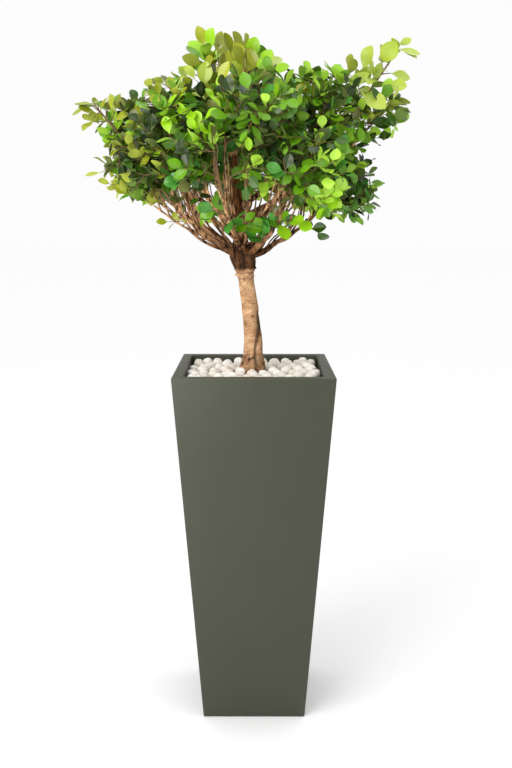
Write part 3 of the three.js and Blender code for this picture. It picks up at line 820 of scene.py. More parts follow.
bpy.ops.mesh.primitive_grid_add(x_subdivisions=TRUNK_TURNS, y_subdivisions=TRUNK_RINGS, size=1)
trunk = start_piece("trunk_bark")
bark_shares = []
for vertex in trunk.data.vertices:
    turn = (vertex.co.x + 0.5) * 2 * math.pi
    axis = curve_point(TRUNK_HANDLES, vertex.co.y + 0.5)
    relief, *shares = bark_at(axis[2], turn)
    vertex.co = axis + (trunk_radius(axis[2], turn) + relief) * round_turn(turn)
    bark_shares.append(shares)
for name, values in zip(("brown", "dark"), zip(*bark_shares)):
    trunk.data.attributes.new(name, "FLOAT", "POINT").data.foreach_set("value", values)
bpy.ops.object.mode_set(mode="EDIT")
bpy.ops.mesh.select_all(action="SELECT")
bpy.ops.mesh.remove_doubles(threshold=SEAM_REACH)
bpy.ops.mesh.fill_holes(sides=TRUNK_TURNS + 1)
bpy.ops.mesh.select_all(action="SELECT")
bpy.ops.mesh.normals_make_consistent(inside=False)
bpy.ops.object.mode_set(mode="OBJECT")
bpy.ops.object.shade_smooth_by_angle(angle=TRUNK_SMOOTH_ANGLE)
print("trunk", len(trunk.data.polygons), "faces")

# %% [markdown]
# Bark colour follows the same rule as its relief: the shape's own attributes say where it is brown and
# where it is dark, from cracks and knots and from painted shade. Over that lie cross bands and pores on
# the pale bark and streaks on the brown bark, each a cloudy blend that is drawn out along one axis, and a
# fine grain. Above the head the leader's bark is made lighter: painted light where the crown shades it.

# %% Trunk finish
# Heights over which the painted shade at the head gives way: limbs are darker below, the leader lighter
# above.
HEAD_SHADE_LOW, HEAD_SHADE_HIGH = 1.188, 1.272
# Painted light: the leader's bark above the head is made lighter, where the crown shades it.
LEADER_PAINTED_LIGHT = (2.4, 2.25, 2.1, 1)
# Colour of cracks and knots, and of the painted shade under flakes and graft rings, in the groove, on the
# strand's side and in the head's hollows.
DARK_BARK_AND_SHADE = linear(40, 25, 14)


def attribute_share(tree, name):
    return add_node(tree, "ShaderNodeAttribute", attribute_name=name).outputs["Fac"]


bark, bark_tree, bark_shader = new_finish("trunk_bark", Roughness=0.85, Specular_IOR_Level=0.14)
band_place = object_place(bark_tree, (34, 34, 75))
pale_bands = place_group(bark_tree, cloudy, band_place, Scale=1, Contrast=2.2,
                         Dark=linear(148, 102, 66), Light=linear(220, 182, 143))
brown_streaks = place_group(bark_tree, cloudy, object_place(bark_tree, (110, 110, 55)), Scale=1, Contrast=3.6,
                            Dark=linear(18, 11, 6), Light=linear(106, 69, 41))["Color"]
pale_pores = place_group(bark_tree, cloudy, object_place(bark_tree, (150, 150, 330)), Scale=1, Contrast=2.6,
                         Dark=(0.66, 0.60, 0.54, 1), Light=(1.24, 1.24, 1.24, 1))
pale_bark = times(bark_tree, pale_bands["Color"], pale_pores["Color"])
leader_lit_bark = times(bark_tree, brown_streaks, LEADER_PAINTED_LIGHT)
leader_light_share = share_by_height(bark_tree, HEAD_SHADE_LOW, HEAD_SHADE_HIGH)
brown_bark = mixed(bark_tree, leader_light_share, brown_streaks, leader_lit_bark)
bark_colour = mixed(bark_tree, attribute_share(bark_tree, "brown"), pale_bark, brown_bark)
# Cracks, knots and painted shade darken the bark.
bark_colour = mixed(bark_tree, attribute_share(bark_tree, "dark"), bark_colour, DARK_BARK_AND_SHADE)
feed(bark_tree, bark_shader, Base_Color=bark_colour)
add_grain(bark_tree, bark_shader, band_place, Scale=4, Strength=0.5, Distance=0.0008)
trunk.data.materials.append(bark)
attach(trunk, "root")
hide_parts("trunk")
print("finish", bark.name)

# %% [markdown]
# From the front, the foot of the crown is a brush of bare reddish stems. Most boughs carry thin risers. A
# riser leaves its limb along the limb's way and bends up steeply into the leaves above, and if its tip
# would stop short of them, it is drawn to the leaves' middle until it ends among them. No limb is quite
# straight: a noise bends each a little, and less towards both ends, so that limbs still meet.

# %% Limbs and risers
LIMB_STEPS = 16
LIMB_SHARES = np.linspace(0, 1, LIMB_STEPS + 1)
GNARL, GNARL_SCALE = 0.0075, 24
RISER = dict(foot=0.0024, tip=0.0012, sides=6, relief=0.25)
RISER_LAST = 0.95
RISER_CLIMB_LOW, RISER_CLIMB_HIGH = 0.09, 0.20
RISER_OUT_LOW, RISER_OUT_HIGH = 0.01, 0.07
RISER_ASIDE = 0.035
RISER_KNEE = (0.75, 0.75, 0.35)
RISER_TIP_DEPTH = 0.030
RISER_PULLS, RISER_PULL = 10, 0.2

boughs = Tubes()
risers = []


def limb_line(handles):
    """Points along a limb, with small bends that fade out at both ends."""
    line = []
    for share in LIMB_SHARES:
        point = curve_point(handles, share)
        bend = np.array(noise.noise_vector(Vector(point * GNARL_SCALE)))
        line.append(point + bend * GNARL * math.sin(math.pi * share))
    return line


def add_limb(handles, foot, tip, sides, relief):
    """Adds a tapering limb to the boughs."""
    boughs.add(limb_line(handles), mix(foot, tip, LIMB_SHARES), sides, relief)


def steep_limb(start, tip):
    """The handles of a limb that first runs outwards and then bends up to its tip."""
    return start, start + (tip - start) * RISER_KNEE, tip


def riser_of(handles, leaf_middle, share, random):
    """The handles of one riser that leaves a limb at a share of its length."""
    start = curve_point(handles, share)
    outward = unit(curve_heading(handles, share) * (1, 1, 0))
    aside = np.cross(UP, outward) * random.between(-RISER_ASIDE, RISER_ASIDE)
    climb = UP * random.between(RISER_CLIMB_LOW, RISER_CLIMB_HIGH)
    tip = start + climb + aside + outward * random.between(RISER_OUT_LOW, RISER_OUT_HIGH)
    for _ in range(RISER_PULLS):
        if depths_in_balls(tip).max() > RISER_TIP_DEPTH:
            break
        tip = mix(tip, leaf_middle, RISER_PULL)
    return steep_limb(start, tip)


def grow_risers(handles, leaf_middle, count, first, random):
    """Adds a number of risers along a limb, from a first share of its length on."""
    for index in range(count):
        share = mix(first, RISER_LAST, (index + random()) / count)
        risers.append(riser_of(handles, leaf_middle, share, random))
        add_limb(risers[-1], **RISER)


# %% [markdown]
# Twenty boughs fan out of the head and of the leader above it, and thin stems leave the head between them.
# Three more limbs reach low to the left, where the bare fan is widest, and three short twigs stick out of
# the head. All of this wood is one mesh, as the limbs grow into one another on the plant.

# %% Boughs
BOUGH_FOOT_SHARE, BOUGH_TIP_SHARE = 1.30, 0.72
BOUGH_SIDES, BOUGH_RELIEF = 9, 0.36
RISERS = dict(skirt=9, shoulder=4, crest=2, sprig=0, spur=0, shoot=0)
RISER_SEED, RISER_FIRST = 500, 0.06
LOW_LIMBS = (
    ((-0.034, -0.010, 1.170), (-0.128, -0.035, 1.210), (-0.250, -0.060, 1.305)),
    ((-0.034, -0.014, 1.174), (-0.100, -0.070, 1.216), (-0.205, -0.130, 1.310)),
    ((-0.036, 0.008, 1.172), (-0.125, 0.050, 1.212), (-0.240, 0.080, 1.305)),
)
LOW_LIMB = dict(foot=0.0052, tip=0.0018, sides=8, relief=0.35)
LOW_LIMB_RISERS, LOW_RISER_FIRST, LOW_LEAVES_ABOVE = 6, 0.25, 0.08
HEAD_TWIGS = (
    ((-0.050, -0.022, 1.176), (-0.052, -0.058, 1.200), (-0.088, -0.085, 1.262)),
    ((-0.046, -0.026, 1.182), (-0.040, -0.066, 1.196), (0.006, -0.092, 1.216)),
    ((-0.040, 0.024, 1.178), (-0.020, 0.062, 1.200), (-0.030, 0.090, 1.258)),
)
HEAD_TWIG = dict(foot=0.0019, tip=0.0011, sides=6, relief=0.25)
HEAD_STEMS = 14
HEAD_STEM = dict(foot=0.0046, tip=0.0015, sides=7, relief=0.3)
HEAD_STEM_LOW, HEAD_STEM_HIGH = 1.152, 1.250
HEAD_STEM_OUT_LOW, HEAD_STEM_OUT_HIGH = 0.12, 0.22
HEAD_STEM_TOP_LOW, HEAD_STEM_TOP_HIGH = 1.33, 1.46


def head_stem_of(index, random):
    """The handles of one thin stem that leaves the head itself, at a golden-angle turn about it."""
    height = mix(HEAD_STEM_LOW, HEAD_STEM_HIGH, index / HEAD_STEMS)
    start = curve_point(TRUNK_HANDLES, trunk_share_at(height))
    tip = start + random.between(HEAD_STEM_OUT_LOW, HEAD_STEM_OUT_HIGH) * round_turn(index * GOLDEN_ANGLE)
    tip[2] = random.between(HEAD_STEM_TOP_LOW, HEAD_STEM_TOP_HIGH)
    return steep_limb(start, tip)


random = Seeded(RISER_SEED - 1)
for limb in LOW_LIMBS:
    add_limb(limb, **LOW_LIMB)
    risers.append(limb)
    grow_risers(limb, np.array(limb[-1]) + UP * LOW_LEAVES_ABOVE, LOW_LIMB_RISERS, LOW_RISER_FIRST, random)
for limb in HEAD_TWIGS:
    add_limb(limb, **HEAD_TWIG)
for index in range(HEAD_STEMS):
    risers.append(head_stem_of(index, random))
    add_limb(risers[-1], **HEAD_STEM)
for number, mass in enumerate(masses):
    radii = [bough_radius(mass["tier"], share) * mix(BOUGH_FOOT_SHARE, BOUGH_TIP_SHARE, share)
             for share in LIMB_SHARES]
    boughs.add(limb_line(mass["handles"]), radii, BOUGH_SIDES, BOUGH_RELIEF)
    random = Seeded(RISER_SEED + number)
    grow_risers(mass["handles"], mass["centre"], RISERS[mass["kind"]], RISER_FIRST, random)
print("limbs", boughs.count, "faces", len(boughs.faces))

# %% [markdown]
# Limbs have a reddish brown bark with long light flecks. Near the head, where they crowd under the crown,
# they are darkened as painted shade. So one cloudy blend, drawn out upwards, is darkened below a height at
# which the painted light on the leader begins on the trunk too.

# %% Bough finish
# Painted shade: limbs near the head are darkened, where they crowd under the crown.
HEAD_PAINTED_SHADE = (0.25, 0.185, 0.125, 1)
LIMB_GRAIN = dict(Scale=420, Strength=0.5, Distance=0.0008)

bough_finish, bough_tree, bough_shader = new_finish("bough_bark", Roughness=0.8, Specular_IOR_Level=0.14)
bough_place = object_place(bough_tree, (1, 1, 0.3))
limb_bark = place_group(bough_tree, cloudy, bough_place, Scale=85, Contrast=4.2,
                         Dark=linear(44, 25, 13), Light=linear(228, 176, 128))["Color"]
shaded_limb_bark = times(bough_tree, limb_bark, HEAD_PAINTED_SHADE)
unshaded_share = share_by_height(bough_tree, HEAD_SHADE_LOW, HEAD_SHADE_HIGH)
feed(bough_tree, bough_shader, Base_Color=mixed(bough_tree, unshaded_share, shaded_limb_bark, limb_bark))
add_grain(bough_tree, bough_shader, bough_place, **LIMB_GRAIN)
bough_piece = boughs.piece("bough_bark", bough_finish)
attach(bough_piece, "root")
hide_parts(*[f"bough_{mass['label']}" for mass in masses])
print("finish", bough_finish.name)

# %% [markdown]
# Finer shoots grow out of the wood that is there already. So points along stems, twigs and the upper parts
# of risers are noted, with the way that the wood runs there and the spray that it belongs to.

# %% Notes of wood
WOOD_STEP, MOST_WOOD = 0.008, 20000
RISER_LEAFY_FROM = 0.6

wood_places, wood_ways = np.zeros((MOST_WOOD, 3)), np.zeros((MOST_WOOD, 3))
wood_sprays, wood_shares = np.full(MOST_WOOD, -1), np.zeros(MOST_WOOD)
wood_count = 0


def note_wood(handles, first_share, spray=-1):
    """Notes points along a curve as wood that shoots may leave, with the spray that the wood belongs to."""
    global wood_count
    length = np.linalg.norm(np.subtract(handles[-1], handles[0]))
    for share in np.linspace(first_share, 1, 2 + int(length * (1 - first_share) / WOOD_STEP)):
        wood_places[wood_count] = curve_point(handles, share)
        wood_ways[wood_count] = curve_heading(handles, share)
        wood_sprays[wood_count] = spray
        wood_shares[wood_count] = share
        wood_count += 1


# %% [markdown]
# Inside a mass the bough carries on as a stem, and twigs leave it in a golden-angle spiral, more upright
# towards its tip, by the rule that the solids follow. A stem stops under the crown's upper outline, which
# is given as a row of heights from left to right.

# %% Stems and twigs
STEM_LENGTH, STEM_STEPS, STEM_FEWEST, STEM_SIDES = 1.15, 10, 3, 7
STEM_TIP_RADIUS = 0.0017
STEM_UNDER_TOP = 0.016
TOP_SEEN_X = (-0.42, -0.34, -0.22, -0.17, -0.14, -0.05, 0.02, 0.09, 0.20, 0.26, 0.30, 0.40)
TOP_SEEN_Z = (1.535, 1.560, 1.605, 1.680, 1.715, 1.715, 1.685, 1.630, 1.625, 1.650, 1.680, 1.710)
SHORTEST_TWIG = 0.014
TIP_LEAF_ROOM = 0.45
TWIGS_PER_MASS = 8
TWIG_SEED_STEP = 1005
FIRST_TWIG_AT = 0.16
SPREAD_LOW, SPREAD_HIGH = 1.5, 0.35
TWIG_LIFT = 0.22
TWIG_PROBES = np.array((0.4, 0.7, 1))[:, None]
NEARLY_UP = UP + 1e-4

twigs = Tubes()
leafy_twigs = []


def under_top(points):
    """How far points lie under the crown's upper outline, as it shows from the front."""
    return np.interp(points[..., 0], TOP_SEEN_X, TOP_SEEN_Z) - points[..., 2]


def spiral_way(heading, turn, spread, lift):
    """A direction that leaves a heading by an angle, at a turn about it, and is drawn upwards."""
    side_a = unit(np.cross(heading, NEARLY_UP))
    side_b = np.cross(side_a, heading)
    way = heading * math.cos(spread) + math.sin(spread) * (side_a * math.cos(turn) + side_b * math.sin(turn))
    return unit(way + UP * lift)


def twigs_of(number, mass, stem_foot, stem_tip):
    """The twigs of a mass, by the rule that its solid follows."""
    for index in range(TWIGS_PER_MASS):
        random = Seeded(TWIG_SEED_STEP * (number + 1) + index)
        share = (index + 0.5) / TWIGS_PER_MASS
        turn = index * GOLDEN_ANGLE + random()
        way = spiral_way(mass["heading"], turn, mix(SPREAD_LOW, SPREAD_HIGH, share), TWIG_LIFT)
        foot = mix(stem_foot, stem_tip, mix(FIRST_TWIG_AT, 1, share))
        length = room_along(mass, foot, way) - mass["tier"]["leaf"] * TIP_LEAF_ROOM
        tip = foot + way * length
        if length > SHORTEST_TWIG and clear_of_limbs(mix(foot, tip, TWIG_PROBES)):
            yield mass["kind"], foot, tip


for number, mass in enumerate(masses):
    stem_foot = mass["handles"][-1] + mass["heading"] * SEAT_GAP
    stem_room = room_along(mass, stem_foot, mass["heading"]) - SHORTEST_TWIG
    stem_tip = stem_foot + mass["heading"] * min(mass["radius"] * STEM_LENGTH, stem_room)
    line = mix(stem_foot, stem_tip, np.linspace(0, 1, STEM_STEPS + 1)[:, None])
    line = line[:max(STEM_FEWEST, int((under_top(line) > STEM_UNDER_TOP).sum()))]
    twigs.add(line, np.linspace(mass["tier"]["bough_tip"], STEM_TIP_RADIUS, len(line)), STEM_SIDES)
    note_wood((line[0], line[-1]), 0)
    leafy_twigs += twigs_of(number, mass, stem_foot, stem_tip)
for handles in risers:
    note_wood(handles, RISER_LEAFY_FROM)
print("stems", twigs.count, "twigs", len(leafy_twigs), "points of wood", wood_count)

# %% [markdown]
# A shoot with its leaves is a spray. Sprays look different from place to place: small leaves that lie flat
# on the sides of the crown, longer ones that stand up and face the front in the crest, and the largest in
# the pale sprig. Each kind says how long and wide its leaves are, how far apart sprays and leaves stand,
# and how much the leaves lift, and face up, outwards or to the front.

# %% Looks of the sprays
LOOKS = dict(
    skirt=dict(leaf=0.037, wide=1.0, gap=0.0240, pitch=0.30, lift=0.1, up=0.8, out=0.55, front=0.0),
    shoulder=dict(leaf=0.038, wide=1.0, gap=0.0245, pitch=0.30, lift=0.1, up=0.8, out=0.5, front=0.0),
    crest=dict(leaf=0.053, wide=0.90, gap=0.040, pitch=0.42, lift=0.6, up=0.3, out=0.35, front=0.8),
    sprig=dict(leaf=0.064, wide=0.95, gap=0.090, pitch=0.60, lift=0.2, up=0.4, out=0.1, front=0.9),
    spur=dict(leaf=0.045, wide=0.95, gap=0.029, pitch=0.34, lift=0.2, up=0.6, out=0.4, front=0.3),
    shoot=dict(leaf=0.046, wide=0.75, gap=0.034, pitch=0.40, lift=0.2, up=0.6, out=0.3, front=0.4),
    low=dict(leaf=0.046, wide=0.95, gap=0, pitch=0.36, lift=0.2, up=0.6, out=0.4, front=0.7),
    wisp=dict(leaf=0.030, wide=0.80, gap=0, pitch=0.45, lift=0.1, up=0.7, out=0.3, front=0.5),
)
print("kinds of spray", len(LOOKS))

# %% [markdown]
# On the real plant the sprays share out the light, so no two end at the same spot. The same is done here:
# spray ends are dropped at random into the crown and kept if no other end is near, closer together at the
# outside than inside, and a little denser here and there. Two places stay open, as on the real plant: the
# lower middle, where the bare stems show, and an oval in front of the leader.

# %% Spray ends
END_SEED, END_TRIES = 77, 36000
INNER_DEPTH, INNER_GAP_EXTRA = 0.046, 0.012
BARE_MIDDLE, BARE_LEAN = -0.040, 0.11
BARE_HALF_LOW, BARE_HALF_HIGH = 0.10, 0.26
BARE_TOP_MIDDLE, BARE_TOP_SIDE = 1.335, 1.290
WINDOW_X, WINDOW_HALF_WIDTH = -0.060, 0.032
WINDOW_Z, WINDOW_HALF_HEIGHT = 1.372, 0.072
GAP_SWAY, GAP_SWAY_SCALE = 0.28, 9


def in_window(points):
    """True for points in the oval opening in front of the leader."""
    aside = (points[..., 0] - WINDOW_X) / WINDOW_HALF_WIDTH
    above = (points[..., 2] - WINDOW_Z) / WINDOW_HALF_HEIGHT
    return (points[..., 1] < 0) & (aside ** 2 + above ** 2 < 1)


def stays_open(place):
    """True in the two places where no spray grows."""
    aside = smooth_step(BARE_HALF_LOW, BARE_HALF_HIGH, abs(place[0] - BARE_MIDDLE))
    bare_top = mix(BARE_TOP_MIDDLE, BARE_TOP_SIDE, aside) - BARE_LEAN * place[0]
    return bool(place[2] < bare_top or in_window(place))


def spread_ends():
    """Ends of sprays, each with its kind and its depth, none too near to another."""
    random = Seeded(END_SEED)
    low = (ball_centres - ball_radii[:, None]).min(axis=0)
    high = (ball_centres + ball_radii[:, None]).max(axis=0)
    places, found = np.zeros((END_TRIES, 3)), []
    for _ in range(END_TRIES):
        place = np.array([random.between(a, b) for a, b in zip(low, high)])
        depths = depths_in_balls(place)
        kind, depth = balls[int(depths.argmax())]["kind"], depths.max()
        inside = depth - TIP_LEAF_ROOM * LOOKS[kind]["leaf"]
        if inside < 0 or stays_open(place):
            continue
        gap = LOOKS[kind]["gap"] + INNER_GAP_EXTRA * smooth_step(0, INNER_DEPTH, inside)
        gap *= 1 + GAP_SWAY * noise.noise(Vector(place * GAP_SWAY_SCALE))
        if found and np.linalg.norm(places[:len(found)] - place, axis=1).min() < gap:
            continue
        places[len(found)] = place
        found.append((place, kind, depth))
    return found


spray_ends = spread_ends()
print("spray ends", len(spray_ends))

# %% [markdown]
# Each spray end is then reached by a shoot. The shoot leaves the wood where that costs least: near by, and
# without turning back on the wood's own way. The ends nearest to wood are served first, and every new shoot
# is wood for the next one, which gives the forked, zigzag growth of real twigs.

# %% Shoots
LONGEST_SHOOT = 0.13
TURN_COST = 1.7
SHOOT_BEND, SHOOT_SAG, TIP_KNEE = 0.22, 0.08, 0.45
SHOOT_PROBES = np.array((0.4, 1))[:, None]
SHOOT_RADII, TWIG_RADII = (0.0011, 0.0007), (0.0015, 0.0010)
FIRST_SHOOT_AT = 0.3
SMALLEST_REACH = 1e-6
SPRAY_SEED = 9000

sprays = []


def note_spray(kind, handles, radii, depth, free=False, tint=None):
    """Notes a curve of wood as a spray, with numbers of its own for its leaves."""
    note_wood(handles, FIRST_SHOOT_AT, len(sprays))
    reach, random = np.linalg.norm(handles[-1] - handles[0]), Seeded(SPRAY_SEED + len(sprays))
    sprays.append(dict(kind=kind, handles=handles, radii=radii, depth=depth, free=free, tint=tint,
                       forked_at=0, reach=reach, random=random))


def add_spray(kind, start, way, end, depth, tip_way=None, **more):
    """Grows one shoot from a start to an end, and notes it as a spray."""
    reach = np.linalg.norm(end - start)
    if tip_way is None:
        knee = mix(start, end, 0.5) + (way - unit(end - start)) * reach * SHOOT_BEND - UP * reach * SHOOT_SAG
    else:
        knee = end - unit(np.array(tip_way)) * reach * TIP_KNEE
    if clear_of_limbs(mix(knee, end, SHOOT_PROBES)):
        note_spray(kind, (start, knee, end), SHOOT_RADII, depth, **more)


def best_wood(end):
    """The point of wood that a shoot to this end leaves at least cost, and how far it is."""
    across = end - wood_places[:wood_count]
    reach = np.linalg.norm(across, axis=1) + SMALLEST_REACH
    along = np.einsum("ij,ij->i", across, wood_ways[:wood_count]) / reach
    best = int(np.argmin(reach * (TURN_COST - along)))
    return best, reach[best]


def grow_to(kind, end, best, depth, **more):
    """Grows a shoot from a point of wood to an end, and notes where it forks off another spray."""
    if wood_sprays[best] >= 0:
        parent = sprays[wood_sprays[best]]
        parent["forked_at"] = max(parent["forked_at"], wood_shares[best])
    add_spray(kind, wood_places[best].copy(), wood_ways[best].copy(), end, depth, **more)


for kind, foot, tip in leafy_twigs:
    note_spray(kind, (foot, mix(foot, tip, 0.5), tip), TWIG_RADII, depths_in_balls(tip).max())
first_reach = [best_wood(end)[1] for end, _, _ in spray_ends]
for order in np.argsort(first_reach):
    end, kind, depth = spray_ends[order]
    best, reach = best_wood(end)
    if SHORTEST_TWIG / 2 < reach < LONGEST_SHOOT:
        grow_to(kind, end, best, depth)
print("sprays in the masses", len(sprays))

# %% [markdown]
# Some sprays grow outside the masses. The three long boughs that stand out at the sides are leafy along
# their outer half, before they reach their masses. These side sprays leave the bough in a spiral, like
# twigs.

# %% Side sprays
SIDE_LEAFY_FROM = dict(sprig=0.50, spur=0.55, shoot=0.60)
SIDE_SPRAYS, SIDE_SEED = 9, 650
SIDE_SPLAY, SIDE_LIFT = 0.9, 0.2
SIDE_REACH_LOW, SIDE_REACH_HIGH = 0.030, 0.052

for number, mass in enumerate(masses):
    if mass["kind"] in SIDE_LEAFY_FROM:
        random = Seeded(SIDE_SEED + number)
        for index in range(SIDE_SPRAYS):
            share = mix(SIDE_LEAFY_FROM[mass["kind"]], 1, (index + random()) / SIDE_SPRAYS)
            start, way = curve_point(mass["handles"], share), curve_heading(mass["handles"], share)
            off = spiral_way(way, index * GOLDEN_ANGLE, SIDE_SPLAY, SIDE_LIFT)
            end = start + off * random.between(SIDE_REACH_LOW, SIDE_REACH_HIGH)
            add_spray("spur", start, way, end, 0, free=True)
print("sprays with those at the sides", len(sprays))

# %% [markdown]
# On the bare lower boughs sit short sprigs, most of them a clear green, which catch the light below the
# crown. Their places are listed, some at the back of the plant: the bough, the share of its length, the
# way and the reach of the sprig, and its kind and tint.

# %% Low sprigs
LOW_SPRIGS = (
    ("skirt_5", 0.66, (-0.90, -0.35, 0.02), 0.052, "wisp", "olive"),
    ("skirt_5", 0.36, (-0.35, -0.75, 0.60), 0.045, "wisp", "fresh"),
    ("skirt_6", 0.30, (0.75, -0.50, 0.35), 0.050, "low", "emerald"),
    ("skirt_6", 0.42, (0.55, -0.70, 0.35), 0.045, "low", "green"),
    ("skirt_6", 0.55, (0.20, -0.75, 0.10), 0.050, "low", "emerald"),
    ("skirt_6", 0.72, (-0.85, -0.45, 0.10), 0.045, "low", "green"),
    ("skirt_6", 0.64, (-0.70, -0.60, 0.25), 0.045, "low", "emerald"),
    ("skirt_7", 0.26, (0.15, -0.85, 0.45), 0.055, "low", "emerald"),
    ("skirt_7", 0.40, (-0.25, -0.80, 0.45), 0.050, "low", "green"),
    ("skirt_7", 0.56, (0.25, -0.80, 0.25), 0.050, "low", "green"),
    ("skirt_7", 0.74, (0.70, -0.60, -0.20), 0.048, "low", "fresh"),
    ("skirt_7", 0.66, (0.45, -0.75, 0.05), 0.050, "low", "fresh"),
    ("skirt_7", 0.48, (0.10, -0.85, 0.40), 0.050, "low", "emerald"),
    ("skirt_1", 0.80, (0.75, 0.30, -0.25), 0.040, "low", "dark"),
    ("skirt_2", 0.60, (0.60, 0.60, -0.10), 0.045, "low", "emerald"),
    ("skirt_3", 0.45, (0.50, 0.70, 0.20), 0.045, "low", "green"),
    ("skirt_3", 0.70, (-0.60, 0.60, -0.05), 0.045, "low", "fresh"),
    ("skirt_4", 0.55, (-0.60, 0.70, 0.05), 0.045, "wisp", "olive"),
)

limbs_by_label = {mass["label"]: mass["handles"] for mass in masses}
for label, share, way, reach, kind, tint in LOW_SPRIGS:
    handles = limbs_by_label[label]
    start = curve_point(handles, share)
    end = start + unit(np.array(way)) * reach
    add_spray(kind, start, curve_heading(handles, share), end, 0, free=True, tint=tint)
print("sprays with the low sprigs", len(sprays))

# %% [markdown]
# A few sprays stray from the masses at the sides, and others fill the neck under the crest. Short sprays of
# a few leaves fill out the pale sprig at upper right, or cross the leader and the bare stems. The end of
# each is given, and for the short ones also the way that the tip points and the tint. The shoot finds its
# own wood.

# %% Strays and short sprays
STRAYS = (
    ("shoot", (-0.358, -0.100, 1.374)),
    ("shoot", (-0.345, -0.085, 1.395)),
    ("crest", (-0.075, -0.160, 1.560)),
    ("crest", (-0.100, -0.180, 1.522)),
    ("crest", (0.005, -0.150, 1.548)),
    ("crest", (-0.178, -0.060, 1.585)),
    ("crest", (-0.135, -0.100, 1.582)),
    ("crest", (0.040, -0.060, 1.612)),
    ("crest", (-0.050, -0.165, 1.535)),
    ("spur", (0.317, -0.060, 1.491)),
)
SHORT_SPRAYS = (
    ("sprig", (0.300, -0.020, 1.641), (1.0, 0.0, 0.1), "lime"),
    ("spur", (0.348, -0.025, 1.662), (0.8, -0.1, -0.5), "lime"),
    ("spur", (0.344, -0.010, 1.672), (0.9, 0.1, 0.3), "lime"),
    ("sprig", (0.256, -0.030, 1.611), (0.5, 0.0, 0.9), "lime"),
    ("spur", (0.226, -0.020, 1.619), (0.1, 0.0, 1.0), "olive"),
    ("spur", (0.280, -0.040, 1.593), (0.8, 0.0, 0.4), "lime"),
    ("sprig", (0.311, -0.060, 1.576), (1.0, 0.0, -0.3), "lime"),
    ("sprig", (0.252, -0.070, 1.554), (0.7, -0.2, -0.6), "lime"),
    ("spur", (0.324, -0.040, 1.548), (0.8, 0.0, -0.6), "olive"),
    ("spur", (0.290, -0.055, 1.531), (0.6, -0.2, -0.7), "green"),
    ("sprig", (0.216, -0.060, 1.556), (0.9, 0.0, 0.4), "lime"),
    ("low", (-0.060, -0.120, 1.360), (0.9, -0.2, 0.1), "green"),
    ("low", (-0.066, -0.110, 1.388), (-0.5, -0.3, 0.7), "emerald"),
    ("low", (-0.068, -0.100, 1.418), (0.9, -0.2, 0.4), "emerald"),
    ("low", (-0.050, -0.105, 1.345), (0.8, -0.2, -0.3), "dark"),
    ("sprig", (0.338, -0.035, 1.660), (0.9, 0.0, -0.4), "lime"),
    ("sprig", (0.246, -0.110, 1.552), (0.7, -0.1, -0.7), "lime"),
    ("spur", (0.275, -0.065, 1.598), (1.0, -0.1, 0.2), "lime"),
    ("wisp", (-0.095, -0.150, 1.318), (-0.9, -0.2, -0.3), "deep"),
    ("wisp", (-0.176, -0.140, 1.316), (-0.8, -0.2, -0.4), "dull"),
    ("wisp", (-0.160, -0.150, 1.322), (0.8, -0.2, 0.4), "dull"),
    ("wisp", (-0.150, -0.150, 1.300), (0.9, -0.2, 0.3), "dark"),
    ("wisp", (-0.212, -0.120, 1.308), (-0.9, -0.2, -0.3), "olive"),
    ("wisp", (0.062, -0.150, 1.300), (0.7, -0.2, 0.5), "dull"),
)


def place_spray(kind, end, **more):
    """Grows a shoot from the best wood to an end that is given."""
    grow_to(kind, np.array(end), best_wood(np.array(end))[0], 0, free=True, **more)


for kind, end in STRAYS:
    place_spray(kind, end)
for kind, end, tip_way, tint in SHORT_SPRAYS:
    place_spray(kind, end, tint=tint, tip_way=tip_way)
print("sprays", len(sprays))

# %% [markdown]
# A ficus leaf is a glossy, leathery oval, a little wider past its middle, on a short stalk. One blade is
# drawn once, from a formula for its outline: two halves that fold up a little from a pale midrib, with a
# closed underside. A handful of blades with other folds and droops is enough, because every leaf is turned
# and scaled.

# %% One leaf blade
STALK_SHARE, STALK_HALF_WIDTH = 0.13, 0.014
BLADE_STATIONS = (0.04, 0.15, 0.30, 0.46, 0.62, 0.77, 0.89, 0.97)
BLADE_FULLNESS, BLADE_BLUNTNESS = 1.12, 0.68
BLADE_NARROWEST, BLADE_THICKNESS = 0.03, 0.012
BLADE_TWIST = 0.3
MIDRIB_HALF_WIDTH = 0.011
BLADE_FORMS = (
    dict(fold=0.06, droop=0.05, curl=0.0),
    dict(fold=0.18, droop=0.14, curl=0.04),
    dict(fold=0.12, droop=-0.05, curl=-0.05),
    dict(fold=0.26, droop=0.08, curl=0.03),
    dict(fold=0.02, droop=0.20, curl=-0.03),
)
BLADE_ROWS, ROW_POINTS = len(BLADE_STATIONS) + 1, 5
BLADE_TIP = BLADE_ROWS * ROW_POINTS
UPPER, MIDRIB, UNDER = range(3)


def blade_half_width(share):
    half = 0.5 * math.sin(math.pi * share ** BLADE_FULLNESS) ** BLADE_BLUNTNESS
    return max(half, BLADE_NARROWEST)


def blade_form(fold, droop, curl):
    """Points of a blade of unit size: rows of left edge, midrib, right edge and underside, and the tip."""
    rows = [(0.0, STALK_HALF_WIDTH)]
    rows += [(mix(STALK_SHARE, 1, share), blade_half_width(share)) for share in BLADE_STATIONS]
    points = []
    for along, half in rows:
        sag = -droop * along * along + curl * math.sin(2 * math.pi * along)
        rib = min(MIDRIB_HALF_WIDTH, 0.5 * half)
        edge = sag + fold * half
        points += [(along, half, edge), (along, rib, sag), (along, -rib, sag),
                   (along, -half, edge - BLADE_TWIST * curl), (along, 0, sag - BLADE_THICKNESS)]
    points.append((1, 0, -droop))
    return np.array(points)


